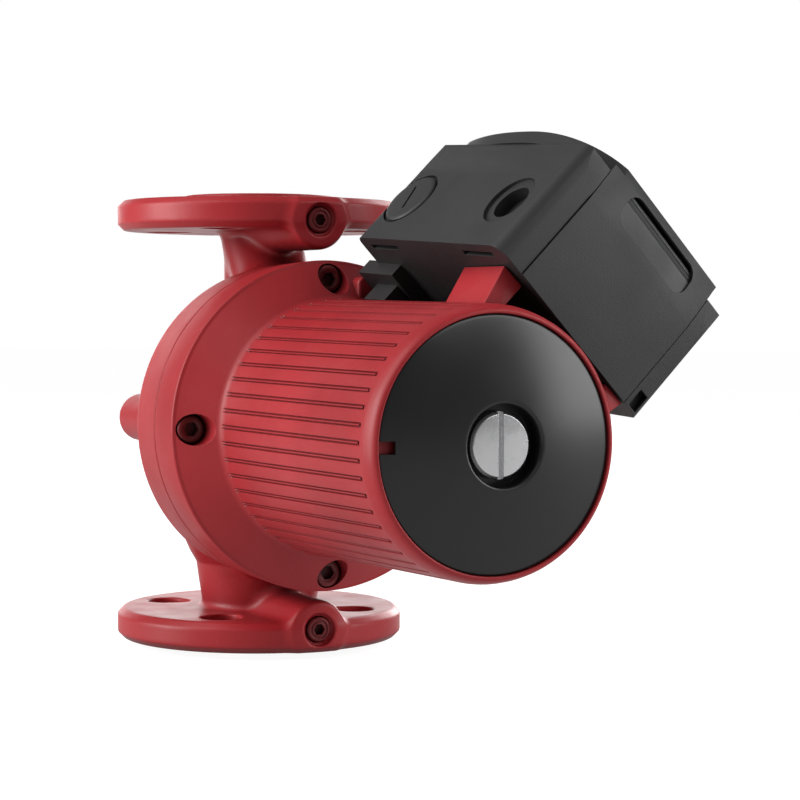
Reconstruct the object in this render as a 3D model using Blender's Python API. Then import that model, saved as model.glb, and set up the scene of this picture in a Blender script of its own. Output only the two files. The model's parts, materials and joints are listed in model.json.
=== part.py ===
"""Flanged wet-rotor circulator pump, as an assembly of its separate pieces.

The frame is the pump's own: the origin is the centre of the lower flange's sealing face, +Z runs up the
pipe axis to the upper flange, and the motor's axis runs along -Y at half the port-to-port length.
Every size below is in millimetres, and MM turns it into Blender's metres when a mesh is made.
"""

import math

import bmesh
import bpy
from mathutils import Matrix, Vector

MM = 0.001
GAP = 0.3

# Pipework side
PORT_TO_PORT = 220.0
SHAFT_Z = PORT_TO_PORT / 2
PORT_R = 16.0
FLANGE_R = 70.0
FLANGE_CHAMFER = 3.1
RAISED_FACE_R = 37.5
RAISED_FACE = 2.6
FLANGE_BACK = 17.4
SMALL_BOLT_CIRCLE_R, SMALL_BOLT_R = 45.0, 7.0
LARGE_BOLT_CIRCLE_R, LARGE_BOLT_R = 50.0, 9.5
GAUGE_Z = 13.7
GAUGE_BOSS_R = 14.0
GAUGE_FACE_Y = -70.8
GAUGE_SINK_R = 7.6
GAUGE_PLUG_R = 5.9
REAR_BOSS_X = 47.3
REAR_BOSS_R = 11.7
REAR_BOSS_END_Y = 42.0
REAR_BOLT_R = 5.1
REAR_BOLT_DEPTH = 18.0

# Distances along the motor axis, measured from the pipe axis towards the motor's front
RING_BACK, RING_FRONT = 26.7, 53.7
MOTOR_BACK, FLANGE_FRONT = 54.0, 78.1
BARREL_ROOT, BARREL_FRONT = 116.0, 233.8
RIM_FRONT = 238.6
CAVITY_END = 222.0
DISC_BACK, DISC_FRONT = 236.2, 237.4
VENT_SEAT = 233.8
VENT_HEAD_BACK, VENT_HEAD_FRONT = 236.0, 241.8

# Radii about the motor axis
RING_BACK_R, RING_R, MOTOR_FLANGE_R = 75.3, 76.5, 77.3
BARREL_ROOT_R, BARREL_FRONT_R = 58.8, 57.3
BARREL_FILLET = [(69.0, 80.0), (66.5, 81.8), (64.6, 85.5), (63.2, 91.0), (61.9, 99.5), (60.2, 106.0)]
BARREL_FILLET += [(BARREL_ROOT_R, BARREL_ROOT)]
STATOR_BORE_R = 50.0
DISC_R, DISC_HOLE_R = 53.0, 17.2
DISC_CROWN_R = 163.0
DISC_WALL, COLLAR_WALL = 1.3, 0.9
VENT_HEAD_R, VENT_SHANK_R = 13.8, 10.0
CHAMBER_R, SPIGOT_R, NECK_BORE_R = 59.0, 60.8, 25.3
SPIGOT_CHAMFER = 2.8
IMPELLER_R, EYE_R = 52.0, 20.0
SHAFT_R = 6.0
BEARING_BORE_R = 6.08
ROTOR_R, CAN_R, CAN_WALL = 27.2, 28.2, 0.8
BOLT_CIRCLE_R = 68.5
BOLT_HEAD_R, BOLT_SHANK_R = 6.5, 3.9
COUNTERBORE_R, COUNTERBORE_FLOOR = 7.2, 71.0
BOLT_HEAD_FRONT = 79.5

# Terminal box: turned about the motor axis, and skewed a little about its own upright
BOX_TURN = math.radians(45.0)
BOX_SKEW = math.radians(4.4)
BOX_START = 110.0
BOX_BACK, BOX_FRONT = -8.0, 112.0
BOX_ENTRY_SIDE, BOX_FAR_SIDE = -60.5, 42.0
BOX_FLOOR, BOX_RIM, LID_TOP = 62.5, 124.6, 132.0
BOX_WALL = 3.0
LID_WALL = 2.5
COVER_LEFT, COVER_RIGHT = -44.0, 32.0
RAKE_START = 108.0
RAKE = math.radians(7.0)
PANEL_TILT = math.radians(4.0)
STRIP_START = 106.0
STRIP_LEAN, STRIP_FALL = math.radians(2.6), math.radians(1.3)
PLUG_ENTRY, OPEN_ENTRY = (8.0, 88.3), (88.6, 89.4)
PLUG_SINK_R, PLUG_HEAD_R, PLUG_SHANK_R = 15.2, 13.9, 10.7
OPEN_SINK_R, OPEN_HOLE_R = 13.4, 9.0
WIRE_HOLE = (84.0, -2.0)
LUG_TOP = 62.2
LUG_BACK, LUG_FRONT = 183.0, 217.6
LUG_OUTER, LUG_INNER = 41.0, 29.0
LUG_LEAN = math.radians(13.6)
LUG_SCREW_AT = (200.0, 35.0)
COVER_SCREWS = ((98.0, 14.0), (3.0, -44.0))
CORNER_STEP = 0.8

# MOTOR_FRAME has its z along the motor's axis towards the front. BOX_FRAME has x towards the front, y
# across the box and z out from the motor. SQUARE_BOX_FRAME is the same, unskewed and from the pipe axis.
MOTOR_FRAME = Matrix(((1, 0, 0, 0), (0, 0, -1, 0), (0, 1, 0, SHAFT_Z * MM), (0, 0, 0, 1)))


def box_frame():
    """Rotation and place of the terminal box: columns are its front, across and outward directions."""
    front, across = Vector((0, -1, 0)), Vector((math.sin(BOX_TURN), 0, -math.cos(BOX_TURN)))
    outward = Vector((math.sin(BOX_TURN), 0, math.cos(BOX_TURN)))
    skewed_front = front * math.cos(BOX_SKEW) + across * math.sin(BOX_SKEW)
    skewed_across = across * math.cos(BOX_SKEW) - front * math.sin(BOX_SKEW)
    turn = Matrix((skewed_front, skewed_across, outward)).transposed().to_4x4()
    return Matrix.Translation((0, -BOX_START * MM, SHAFT_Z * MM)) @ turn


BOX_FRAME = box_frame()
OUTWARD_TO_X = Matrix(((0, 0, 1, 0), (0, -1, 0, 0), (1, 0, 0, 0), (0, 0, 0, 1)))
SQUARE_BOX_FRAME = MOTOR_FRAME @ Matrix.Rotation(BOX_TURN, 4, "Z") @ OUTWARD_TO_X
TO_MOTOR = MOTOR_FRAME.inverted()
ALONG_Y = Matrix.Rotation(math.pi / 2, 4, "X")
UPRIGHT = Matrix(((0, 0, 1, 0), (1, 0, 0, 0), (0, 1, 0, 0), (0, 0, 0, 1)))


def at(x, y, z, turn=None):
    """A frame at a point in millimetres, turned by an optional matrix."""
    return Matrix.Translation((x * MM, y * MM, z * MM)) @ (turn or Matrix())


# ---------------------------------------------------------------- shapes


def close(bm, frame):
    bmesh.ops.remove_doubles(bm, verts=bm.verts, dist=1e-7)
    bmesh.ops.recalc_face_normals(bm, faces=bm.faces)
    bmesh.ops.transform(bm, matrix=frame or Matrix(), verts=bm.verts)
    return bm


def turned(profile, steps=48, frame=None):
    """A profile of (radius, height) points spun about Z. It closes on the axis or on itself."""
    bm = bmesh.new()
    verts = [bm.verts.new((r * MM, 0, h * MM)) for r, h in profile]
    edges = [bm.edges.new(pair) for pair in zip(verts, verts[1:])]
    if profile[0][0] > 0 or profile[-1][0] > 0:
        edges.append(bm.edges.new((verts[-1], verts[0])))
    turn = {"cent": (0, 0, 0), "axis": (0, 0, 1), "angle": 2 * math.pi, "steps": steps}
    bmesh.ops.spin(bm, geom=verts + edges, use_merge=True, **turn)
    return close(bm, frame)


def stepped(steps_up, low, count=24, frame=None):
    """A solid of revolution that changes radius in steps: pairs of (radius, height that it reaches)."""
    profile = [(0, low)]
    for radius, high in steps_up:
        profile += [(radius, profile[-1][1]), (radius, high)]
    return turned(profile + [(0, profile[-1][1])], count, frame)


def cylinder(radius, low, high, steps=24, frame=None, chamfer=0.0):
    """A solid cylinder along Z, with an optional chamfer at its high end."""
    profile = [(0, low), (radius, low), (radius, high - chamfer)]
    if chamfer:
        profile.append((radius - chamfer, high))
    return turned(profile + [(0, high)], steps, frame)


def ring(inner, outer, low, high, steps=40, frame=None):
    return turned([(inner, low), (outer, low), (outer, high), (inner, high)], steps, frame)


def torus(radius, minor, height, steps=48, sides=8, frame=None):
    profile = []
    for i in range(sides):
        angle = 2 * math.pi * i / sides
        profile.append((radius + minor * math.cos(angle), height + minor * math.sin(angle)))
    return turned(profile, steps, frame)


def prism(outline, low, high, frame=None):
    """A flat outline of (x, y) points extruded along Z."""
    bm = bmesh.new()
    face = bm.faces.new([bm.verts.new((x * MM, y * MM, low * MM)) for x, y in outline])
    top = bmesh.ops.extrude_face_region(bm, geom=[face])["geom"]
    moved = [item for item in top if isinstance(item, bmesh.types.BMVert)]
    bmesh.ops.translate(bm, vec=(0, 0, (high - low) * MM), verts=moved)
    return close(bm, frame)


def block(low, high, frame=None):
    x0, y0, z0 = low
    x1, y1, z1 = high
    return prism([(x0, y0), (x1, y0), (x1, y1), (x0, y1)], z0, z1, frame)


def loft(sections, steps=28, frame=None):
    """A closed tube through level ellipses, each (height, x radius, y radius, y of its centre)."""
    bm = bmesh.new()
    rings = []
    for height, rx, ry, cy in sections:
        points = []
        for i in range(steps):
            angle = 2 * math.pi * i / steps
            x, y = rx * math.cos(angle), cy + ry * math.sin(angle)
            points.append(bm.verts.new((x * MM, y * MM, height * MM)))
        rings.append(points)
    for lower, upper in zip(rings, rings[1:]):
        for i in range(steps):
            j = (i + 1) % steps
            bm.faces.new((lower[i], lower[j], upper[j], upper[i]))
    bm.faces.new(rings[0])
    bm.faces.new(rings[-1])
    return close(bm, frame)


def hull(points, frame=None):
    """The convex solid around a set of points."""
    bm = bmesh.new()
    for point in points:
        bm.verts.new(Vector(point) * MM)
    made = bmesh.ops.convex_hull(bm, input=bm.verts)
    inside = set(made["geom_interior"] + made["geom_unused"])
    unused = [item for item in inside if isinstance(item, bmesh.types.BMVert)]
    bmesh.ops.delete(bm, geom=unused, context="VERTS")
    return close(bm, frame)


def arc(cx, cy, radius, start, end, count):
    """Points on an arc, in degrees."""
    points = []
    for i in range(count + 1):
        angle = math.radians(start + (end - start) * i / count)
        points.append((cx + radius * math.cos(angle), cy + radius * math.sin(angle)))
    return points


def rounded_box(x0, y0, x1, y1, radius, count=3):
    """A rectangle's outline with rounded corners."""
    return (
        arc(x1 - radius, y1 - radius, radius, 0, 90, count)
        + arc(x0 + radius, y1 - radius, radius, 90, 180, count)
        + arc(x0 + radius, y0 + radius, radius, 180, 270, count)
        + arc(x1 - radius, y0 + radius, radius, 270, 360, count)
    )


def hexagon(across_flats):
    return arc(0, 0, across_flats / math.sqrt(3), 0, 300, 5)


# ---------------------------------------------------------------- objects


def material(name, colour, roughness, metallic=0.0):
    found = bpy.data.materials.get(name)
    if found:
        return found
    made = bpy.data.materials.new(name)
    made.use_nodes = True
    shader = made.node_tree.nodes["Principled BSDF"]
    shader.inputs["Base Color"].default_value = (*colour, 1.0)
    shader.inputs["Roughness"].default_value = roughness
    shader.inputs["Metallic"].default_value = metallic
    made.diffuse_color = (*colour, 1.0)
    return made


def red_paint():
    return material("red_paint", (0.45, 0.022, 0.03), 0.42)


def dark_red_paint():
    return material("dark_red_paint", (0.2, 0.012, 0.015), 0.45)


def black_plastic():
    return material("black_plastic", (0.035, 0.035, 0.037), 0.55)


def steel():
    return material("steel", (0.6, 0.6, 0.62), 0.3, 1.0)


def carbon():
    return material("carbon", (0.06, 0.06, 0.065), 0.4)


def copper():
    return material("copper", (0.55, 0.24, 0.1), 0.35, 1.0)


def aluminium():
    return material("aluminium", (0.62, 0.63, 0.64), 0.35, 1.0)


def white_plastic():
    return material("white_plastic", (0.6, 0.6, 0.57), 0.5)


def red_plastic():
    return material("red_plastic", (0.4, 0.03, 0.03), 0.35)


def gloss_black():
    return material("gloss_black", (0.05, 0.05, 0.052), 0.2)


def rubber():
    return material("rubber", (0.02, 0.02, 0.02), 0.8)


def new_object(name, bm):
    mesh = bpy.data.meshes.new(name)
    bm.to_mesh(mesh)
    bm.free()
    made = bpy.data.objects.new(name, mesh)
    bpy.context.scene.collection.objects.link(made)
    return made


def combine(target, bm, operation):
    """Joins a shape to the target object, or cuts it away, and keeps the result as the target's mesh."""
    tool = new_object("tool", bm)
    modifier = target.modifiers.new("combine", "BOOLEAN")
    modifier.operation = operation
    modifier.solver = "EXACT"
    modifier.object = tool
    graph = bpy.context.evaluated_depsgraph_get()
    result = bpy.data.meshes.new_from_object(target.evaluated_get(graph))
    target.modifiers.clear()
    old = target.data
    target.data = result
    bpy.data.meshes.remove(old)
    tool_mesh = tool.data
    bpy.data.objects.remove(tool)
    bpy.data.meshes.remove(tool_mesh)


def joined(base, add=(), cut=()):
    """A base shape with others joined to it and cut from it, as a shape again."""
    made = new_object("joined", base)
    for shape in add:
        combine(made, shape, "UNION")
    for shape in cut:
        combine(made, shape, "DIFFERENCE")
    shape = bmesh.new()
    shape.from_mesh(made.data)
    mesh = made.data
    bpy.data.objects.remove(made)
    bpy.data.meshes.remove(mesh)
    return shape


def part(name, finish, base, add=(), cut=(), frame=None):
    """One named piece: a base shape, the shapes joined to it, and then the shapes cut from it."""
    made = new_object(name, base)
    for shape in add:
        combine(made, shape, "UNION")
    for shape in cut:
        combine(made, shape, "DIFFERENCE")
    made.data.name = name
    made.data.materials.clear()
    made.data.materials.append(finish)
    made.data.shade_smooth()
    made.data.set_sharp_from_angle(angle=math.radians(35))
    made.matrix_world = frame or Matrix()
    return made


def hang_on(parent_name, point, axis_frame, names):
    """An empty on a joint's axis, which carries the moving pieces."""
    empty = bpy.data.objects.new(parent_name, None)
    empty.empty_display_size = 0.03
    bpy.context.scene.collection.objects.link(empty)
    empty.matrix_world = axis_frame @ at(*point)
    bpy.context.view_layer.update()
    for name in names:
        child = bpy.data.objects[name]
        world = child.matrix_world.copy()
        child.parent = empty
        child.matrix_world = world


# ---------------------------------------------------------------- pump side


def flange(upper):
    """One port's flange with its raised face, as a solid disc."""
    rim = FLANGE_R - FLANGE_CHAMFER
    profile = [
        (0, 0),
        (RAISED_FACE_R, 0),
        (RAISED_FACE_R, RAISED_FACE),
        (rim, RAISED_FACE),
        (FLANGE_R, RAISED_FACE + FLANGE_CHAMFER),
        (FLANGE_R, FLANGE_BACK - FLANGE_CHAMFER),
        (rim, FLANGE_BACK),
        (0, FLANGE_BACK),
    ]
    if upper:
        profile = [(r, PORT_TO_PORT - h) for r, h in reversed(profile)]
    return turned(profile, 48, Matrix.Rotation(math.pi / 48, 4, "Z"))


def flange_slot(upper, angle):
    """A bolt hole that takes both the smaller and the larger bolt circle."""
    low, high = (PORT_TO_PORT - FLANGE_BACK - 1, PORT_TO_PORT + 1) if upper else (-1, FLANGE_BACK + 1)
    points = []
    for circle, radius in ((SMALL_BOLT_CIRCLE_R, SMALL_BOLT_R), (LARGE_BOLT_CIRCLE_R, LARGE_BOLT_R)):
        for x, y in arc(circle, 0, radius, 0, 324, 9):
            points += [(x, y, low), (x, y, high)]
    return hull(points, Matrix.Rotation(angle, 4, "Z"))


def gauge_boss(upper):
    """The boss that runs out from the neck to the flange's edge, flat where it meets the flange face."""
    z = PORT_TO_PORT - GAUGE_Z if upper else GAUGE_Z
    flat = math.degrees(math.asin((GAUGE_Z - RAISED_FACE - 1) / GAUGE_BOSS_R))
    outline = arc(0, 0, GAUGE_BOSS_R, -flat, 180 + flat, 14)
    if upper:
        outline = [(x, -y) for x, y in reversed(outline)]
    return prism(outline, 12, -GAUGE_FACE_Y, at(0, 0, z, ALONG_Y))


def gauge_hole(upper):
    """The plug's sunk seat and hole, and the narrow way on to the port."""
    z = PORT_TO_PORT - GAUGE_Z if upper else GAUGE_Z
    front = -GAUGE_FACE_Y
    profile = [(0, 8), (2.5, 8), (2.5, 56), (6.2, 56), (6.2, front - 2), (GAUGE_SINK_R, front - 2)]
    profile += [(GAUGE_SINK_R, front + 1), (0, front + 1)]
    return turned(profile, 18, at(0, 0, z, ALONG_Y))


def rear_frame(side, steps):
    """Looks out of a rear boss, turned half a facet so that no edge lies in the pump's mid-plane."""
    turn = Matrix.Rotation(-math.pi / 2, 4, "X") @ Matrix.Rotation(math.pi / steps, 4, "Z")
    return at(side * REAR_BOSS_X, 0, SHAFT_Z, turn)


def rear_boss(side):
    return cylinder(REAR_BOSS_R, -24, REAR_BOSS_END_Y, 22, rear_frame(side, 22), 1.6)


def rear_hole(side):
    frame = rear_frame(side, 16)
    return cylinder(REAR_BOLT_R, REAR_BOSS_END_Y - REAR_BOLT_DEPTH, REAR_BOSS_END_Y + 1, 16, frame)


def volute_outside():
    profile = [(0, RING_FRONT), (RING_R, RING_FRONT), (RING_BACK_R, RING_BACK + 2)]
    profile += [(RING_BACK_R - 2, RING_BACK), (67, 24.5), (62, 14), (54, -3), (43, -17)]
    profile += [(28, -26.5), (10, -30), (0, -30)]
    return turned(profile, 48, MOTOR_FRAME)


def volute_inside():
    """The neck ring's bore, the impeller chamber, and the step and chamfer that take the motor's spigot."""
    profile = [(0, 4), (NECK_BORE_R, 4), (NECK_BORE_R, 27), (CHAMBER_R, 27), (CHAMBER_R, 48.5)]
    profile += [(SPIGOT_R, 48.5), (SPIGOT_R, 50.5)]
    mouth = SPIGOT_R + SPIGOT_CHAMFER
    profile += [(mouth, RING_FRONT), (mouth, RING_FRONT + 1), (0, RING_FRONT + 1)]
    return turned(profile, 48, MOTOR_FRAME)


def bolt_frames():
    """A frame for each motor bolt, on the bolt circle at the top, left, bottom and right."""
    names = ("right", "top", "left", "bottom")
    for i, name in enumerate(names):
        angle = i * math.pi / 2
        shift = at(BOLT_CIRCLE_R * math.cos(angle), BOLT_CIRCLE_R * math.sin(angle), 0)
        yield name, MOTOR_FRAME @ shift


def make_pump_housing():
    lower_neck = [(12, 28, 28, 0), (20, 28.4, 28.4, 0), (33, 31, 29, -1), (40, 32.5, 29, -2)]
    lower_neck += [(46, 37, 29, -4), (54, 42, 28, -7), (66, 46, 26, -11), (80, 46, 22, -16)]
    upper_rear = [(150, 17.7, 17.7, 0), (208, 17.7, 17.7, 0)]
    upper_front = [(150, 23, 22, -32), (160, 21, 21, -26), (181, 19.5, 19.5, -13)]
    upper_front += [(200, 19.9, 19.9, -1), (208, 20.5, 20.5, 0)]
    suction = [(-1, PORT_R, PORT_R, 0), (40, 17, 17, 0), (70, 21, 21, 0)]
    suction += [(118, 21, 21, 0), (130, 14, 14, 0)]
    outlet = [(148, 15, 14, -38), (160, 14.5, 14.5, -26), (181, 14.5, 14.5, -13), (202, PORT_R, PORT_R, 0)]
    outlet += [(PORT_TO_PORT + 1, PORT_R, PORT_R, 0)]
    add = [flange(False), flange(True), loft(lower_neck), loft(upper_rear), loft(upper_front)]
    add += [gauge_boss(False), gauge_boss(True), rear_boss(-1), rear_boss(1)]
    cut = [volute_inside(), loft(suction), loft(outlet)]
    cut += [gauge_hole(False), gauge_hole(True), rear_hole(-1), rear_hole(1)]
    for upper in (False, True):
        for quarter in range(4):
            cut.append(flange_slot(upper, math.pi / 4 + quarter * math.pi / 2))
    for _, frame in bolt_frames():
        cut.append(cylinder(BOLT_SHANK_R + GAP, 33, RING_FRONT + 1, 12, frame))
    part("pump_housing", red_paint(), volute_outside(), add, cut)


def make_gauge_plugs():
    front = -GAUGE_FACE_Y - 0.6
    profile = [(0, 58), (GAUGE_PLUG_R, 58), (GAUGE_PLUG_R, front - 0.8)]
    profile += [(GAUGE_PLUG_R - 0.8, front), (0, front)]
    for name, z in (("gauge_plug_lower", GAUGE_Z), ("gauge_plug_upper", PORT_TO_PORT - GAUGE_Z)):
        frame = at(0, 0, z, ALONG_Y)
        socket = prism(hexagon(5), front - 4, front + 1)
        part(name, dark_red_paint(), turned(profile, 24), cut=[socket], frame=frame)


# ---------------------------------------------------------------- hydraulics and rotor


def blade(index, count):
    """One backward-curved impeller vane, from the eye to the rim."""
    steps, thickness, turn_back = 5, 2.2, math.radians(75)
    inner, outer = 17.0, IMPELLER_R - 0.6
    outline_low, outline_high = [], []
    for i in range(steps + 1):
        t = i / steps
        radius = inner + (outer - inner) * t
        angle = -turn_back * t + 2 * math.pi * index / count
        along = Vector((math.cos(angle), math.sin(angle)))
        ahead = Vector((-math.sin(angle), math.cos(angle)))
        outline_low.append(tuple(along * radius + ahead * thickness / 2))
        outline_high.append(tuple(along * radius - ahead * thickness / 2))
    return prism(outline_low + outline_high[::-1], 31.2, 46)


def make_impeller():
    back = [(6.3, 36), (10, 36), (12, 42), (20, 45.2), (IMPELLER_R, 45.2), (IMPELLER_R, 47.4), (6.3, 47.4)]
    front = [(EYE_R, 21), (22.5, 21), (22.5, 29.4), (IMPELLER_R, 32.8), (IMPELLER_R, 34.8)]
    front += [(EYE_R + 3, 31.6), (EYE_R, 29.6)]
    add = [blade(i, 6) for i in range(6)] + [turned(front, 32)]
    part("impeller", steel(), turned(back, 32), add, frame=MOTOR_FRAME)


def make_hydraulics():
    part("neck_ring", steel(), ring(22.9, 25.0, 13, 26.6, 32), frame=MOTOR_FRAME)
    plate = [(13.3, 48.8), (SPIGOT_R - GAP, 48.8), (SPIGOT_R - GAP, 51.5)]
    plate += [(17.5, 51.5), (16.5, 60), (13.3, 60)]
    part("bearing_plate", steel(), turned(plate, 32), frame=MOTOR_FRAME)
    part("pump_end_bearing", carbon(), ring(BEARING_BORE_R, 13.0, 48.8, 60, 32), frame=MOTOR_FRAME)
    part("vent_end_bearing", carbon(), ring(BEARING_BORE_R, 12.1, 208, 219.9, 32), frame=MOTOR_FRAME)
    part("housing_o_ring", rubber(), torus(61.8, 0.7, 53.0, 40, 5), frame=MOTOR_FRAME)
    outer = CAN_R + CAN_WALL
    can = [(SPIGOT_R - GAP, 51.8), (SPIGOT_R - GAP, 52.6), (outer, 52.6), (outer, 214.8)]
    can += [(13.2, 214.8), (13.2, 221), (8, 221), (8, 220.2), (12.4, 220.2), (12.4, 214)]
    can += [(CAN_R, 214), (CAN_R, 51.8)]
    part("rotor_can", steel(), turned(can, 32), frame=MOTOR_FRAME)


def make_rotor():
    shaft = turned([(0, 23.5), (SHAFT_R, 23.5), (SHAFT_R, 218), (SHAFT_R - 1, 219), (0, 219)], 20)
    slot = block((-SHAFT_R - 1, -0.9, 216), (SHAFT_R + 1, 0.9, 220))
    part("rotor_shaft", steel(), shaft, cut=[slot], frame=MOTOR_FRAME)
    core = [(SHAFT_R + GAP, 86), (ROTOR_R - 1, 86), (ROTOR_R, 87), (ROTOR_R, 175)]
    core += [(ROTOR_R - 1, 176), (SHAFT_R + GAP, 176)]
    part("rotor_core", steel(), turned(core, 28), frame=MOTOR_FRAME)
    part("thrust_ring", carbon(), ring(SHAFT_R + GAP, 12.5, 60.6, 66, 20), frame=MOTOR_FRAME)
    cone = [(SHAFT_R + GAP, 32.2), (9.5, 32.2), (8.4, 35.7), (SHAFT_R + GAP, 35.7)]
    part("split_cone", steel(), turned(cone, 16), frame=MOTOR_FRAME)
    nut = prism(hexagon(17), 25.4, 31.9)
    part("impeller_nut", steel(), nut, cut=[cylinder(SHAFT_R + GAP, 24, 33, 16)], frame=MOTOR_FRAME)
    make_impeller()
    names = ("rotor_shaft", "rotor_core", "thrust_ring", "split_cone", "impeller_nut", "impeller")
    hang_on("rotor_axis", (0, 0, 0), MOTOR_FRAME, names)


# ---------------------------------------------------------------- motor


def barrel_radius(height):
    t = (height - BARREL_ROOT) / (BARREL_FRONT - BARREL_ROOT)
    return BARREL_ROOT_R + (BARREL_FRONT_R - BARREL_ROOT_R) * t


def motor_outside():
    """Flange, the sweeping fillet behind the barrel, the tapering barrel and its rolled front rim."""
    profile = [(0, MOTOR_BACK - 1.1), (SPIGOT_R - GAP, MOTOR_BACK - 1.1), (SPIGOT_R - GAP, MOTOR_BACK)]
    profile += [(RING_R, MOTOR_BACK), (MOTOR_FLANGE_R, FLANGE_FRONT - 1.2)]
    profile += [(MOTOR_FLANGE_R - 1.2, FLANGE_FRONT)]
    profile += BARREL_FILLET + [(barrel_radius(165), 165), (barrel_radius(231), 231)]
    profile += [(57.1, 232.4), (56.5, 234.8), (55.6, 237.0), (54.5, RIM_FRONT), (DISC_R + GAP, 238.2)]
    profile += [(DISC_R + GAP, DISC_BACK - GAP), (0, DISC_BACK - GAP)]
    return turned(profile, 56)


def lug(side):
    """A lug that carries a front corner of the terminal box, and leans out from the barrel to its top."""
    low = 30.0
    lean = (LUG_TOP - low) * math.tan(LUG_LEAN)
    outline = [(LUG_INNER, low), (LUG_OUTER - lean, low), (LUG_OUTER, LUG_TOP), (LUG_INNER, LUG_TOP)]
    outline = [(side * across, out) for across, out in outline]
    return prism(outline, LUG_BACK, LUG_FRONT, TO_MOTOR @ SQUARE_BOX_FRAME @ UPRIGHT)


def foot_pad():
    """The pad on the flange's face, beside the top bolt and behind the terminal box's rear foot."""
    outline = [(9.5, 50), (26, 50), (26, 66), (20, 69.5), (11.5, 69.5), (9.5, 67.5)]
    return prism(outline, 77, 91.5)


def lug_screw_places():
    """Where the two screws stand, in the terminal box's own frame."""
    along, across = LUG_SCREW_AT
    for side in (-1, 1):
        place = BOX_FRAME.inverted() @ SQUARE_BOX_FRAME @ Vector((along * MM, side * across * MM, 0))
        yield place.x / MM, place.y / MM


def make_motor_housing():
    box_in_motor = TO_MOTOR @ BOX_FRAME
    x, y = WIRE_HOLE
    add = [lug(-1), lug(1), foot_pad(), cylinder(13, 40, LUG_TOP, 28, box_in_motor @ at(x, y, 0))]
    cut = [cylinder(STATOR_BORE_R, MOTOR_BACK - 2, CAVITY_END, 40)]
    collar_clear = DISC_HOLE_R + COLLAR_WALL + GAP
    cut.append(stepped([(VENT_SHANK_R + GAP, VENT_SEAT), (collar_clear, RIM_FRONT + 1)], 220, 32))
    for _, frame in bolt_frames():
        sizes = [(BOLT_SHANK_R + GAP, COUNTERBORE_FLOOR), (COUNTERBORE_R, 108)]
        cut.append(stepped(sizes, MOTOR_BACK - 2, 24, TO_MOTOR @ frame))
    cut.append(cylinder(8, 40, LUG_TOP + 1, 24, box_in_motor @ at(x, y, 0)))
    for x, y in lug_screw_places():
        cut.append(cylinder(2.3, LUG_TOP - 9, LUG_TOP + 1, 12, box_in_motor @ at(x, y, 0)))
    part("motor_housing", red_paint(), motor_outside(), add, cut, MOTOR_FRAME)


def make_motor_inside():
    part("stator_core", steel(), ring(29.5, STATOR_BORE_R - GAP, 86, 178, 40), frame=MOTOR_FRAME)
    for name, low, high in (("winding_pump_end", 66, 85.7), ("winding_vent_end", 178.3, 198)):
        profile = rounded_box(31.5, low, 46.5, high, 5, 2)
        part(name, copper(), turned(profile, 24), frame=MOTOR_FRAME)


def make_motor_bolts():
    for name, frame in bolt_frames():
        seat, front = COUNTERBORE_FLOOR + GAP, BOLT_HEAD_FRONT
        profile = [(0, 35), (BOLT_SHANK_R, 35), (BOLT_SHANK_R, seat), (BOLT_HEAD_R, seat)]
        profile += [(BOLT_HEAD_R, front - 0.6), (BOLT_HEAD_R - 0.6, front), (0, front)]
        socket = prism(hexagon(6), front - 4.4, front + 1)
        part("motor_bolt_" + name, dark_red_paint(), turned(profile, 20), cut=[socket], frame=frame)


def crown(radius):
    """Height of the domed disc's outside at a radius."""
    return DISC_FRONT + (DISC_R**2 - radius**2) / (2 * DISC_CROWN_R)


def disc_profile():
    """A thin dome with a flat edge, and a collar round its hole that reaches back to the vent seat."""
    collar_r, seat = DISC_HOLE_R + COLLAR_WALL, VENT_SEAT + GAP
    radii = (24, 31, 38, 45, 50)
    profile = [(13.2, seat), (collar_r, seat), (collar_r, crown(collar_r) - DISC_WALL)]
    profile += [(radius, crown(radius) - DISC_WALL) for radius in radii]
    profile += [(51.6, DISC_BACK), (DISC_R, DISC_BACK), (DISC_R, DISC_FRONT)]
    profile += [(radius, crown(radius)) for radius in reversed(radii)]
    profile += [(DISC_HOLE_R + 0.5, crown(DISC_HOLE_R + 0.5)), (DISC_HOLE_R, crown(DISC_HOLE_R) - 0.4)]
    return profile + [(DISC_HOLE_R, seat + COLLAR_WALL), (13.2, seat + COLLAR_WALL)]


def make_front():
    notch = block((-DISC_R - 1, -2.6, DISC_BACK - 2), (-DISC_R + 6.5, 2.6, DISC_FRONT + 4))
    part("nameplate_disc", gloss_black(), turned(disc_profile(), 56), cut=[notch], frame=MOTOR_FRAME)
    radius, back, front = VENT_HEAD_R, VENT_HEAD_BACK, VENT_HEAD_FRONT
    screw = [(0, 223.5), (VENT_SHANK_R, 223.5), (VENT_SHANK_R, back), (radius, back)]
    screw += [(radius, front - 1.2), (radius - 1.2, front), (0, front)]
    slot = block((-1.2, -radius - 1, front - 2.2), (1.2, radius + 1, front + 1))
    part("vent_screw", steel(), turned(screw, 28), cut=[slot], frame=MOTOR_FRAME)
    seal = torus(11.7, 0.9, (VENT_SEAT + back) / 2, 28, 6)
    part("vent_o_ring", rubber(), seal, frame=MOTOR_FRAME)
    hang_on("vent_axis", (0, 0, VENT_HEAD_FRONT), MOTOR_FRAME, ("vent_o_ring", "vent_screw"))


# ---------------------------------------------------------------- terminal box


def wall_frame(entry):
    """A frame on the entry wall whose z points out of the box through that wall."""
    x, z = entry
    return at(x, BOX_ENTRY_SIDE, z, ALONG_Y)


def raked_front(low_y, high_y, top):
    """The wedge in front of the raked part of the box's front, which is cut away."""
    lean = (top - RAKE_START) * math.tan(RAKE)
    front = BOX_FRONT
    outline = [(front, RAKE_START), (front - lean, top), (front + 9, top), (front + 9, RAKE_START)]
    return prism(outline, -high_y, -low_y, ALONG_Y)


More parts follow.
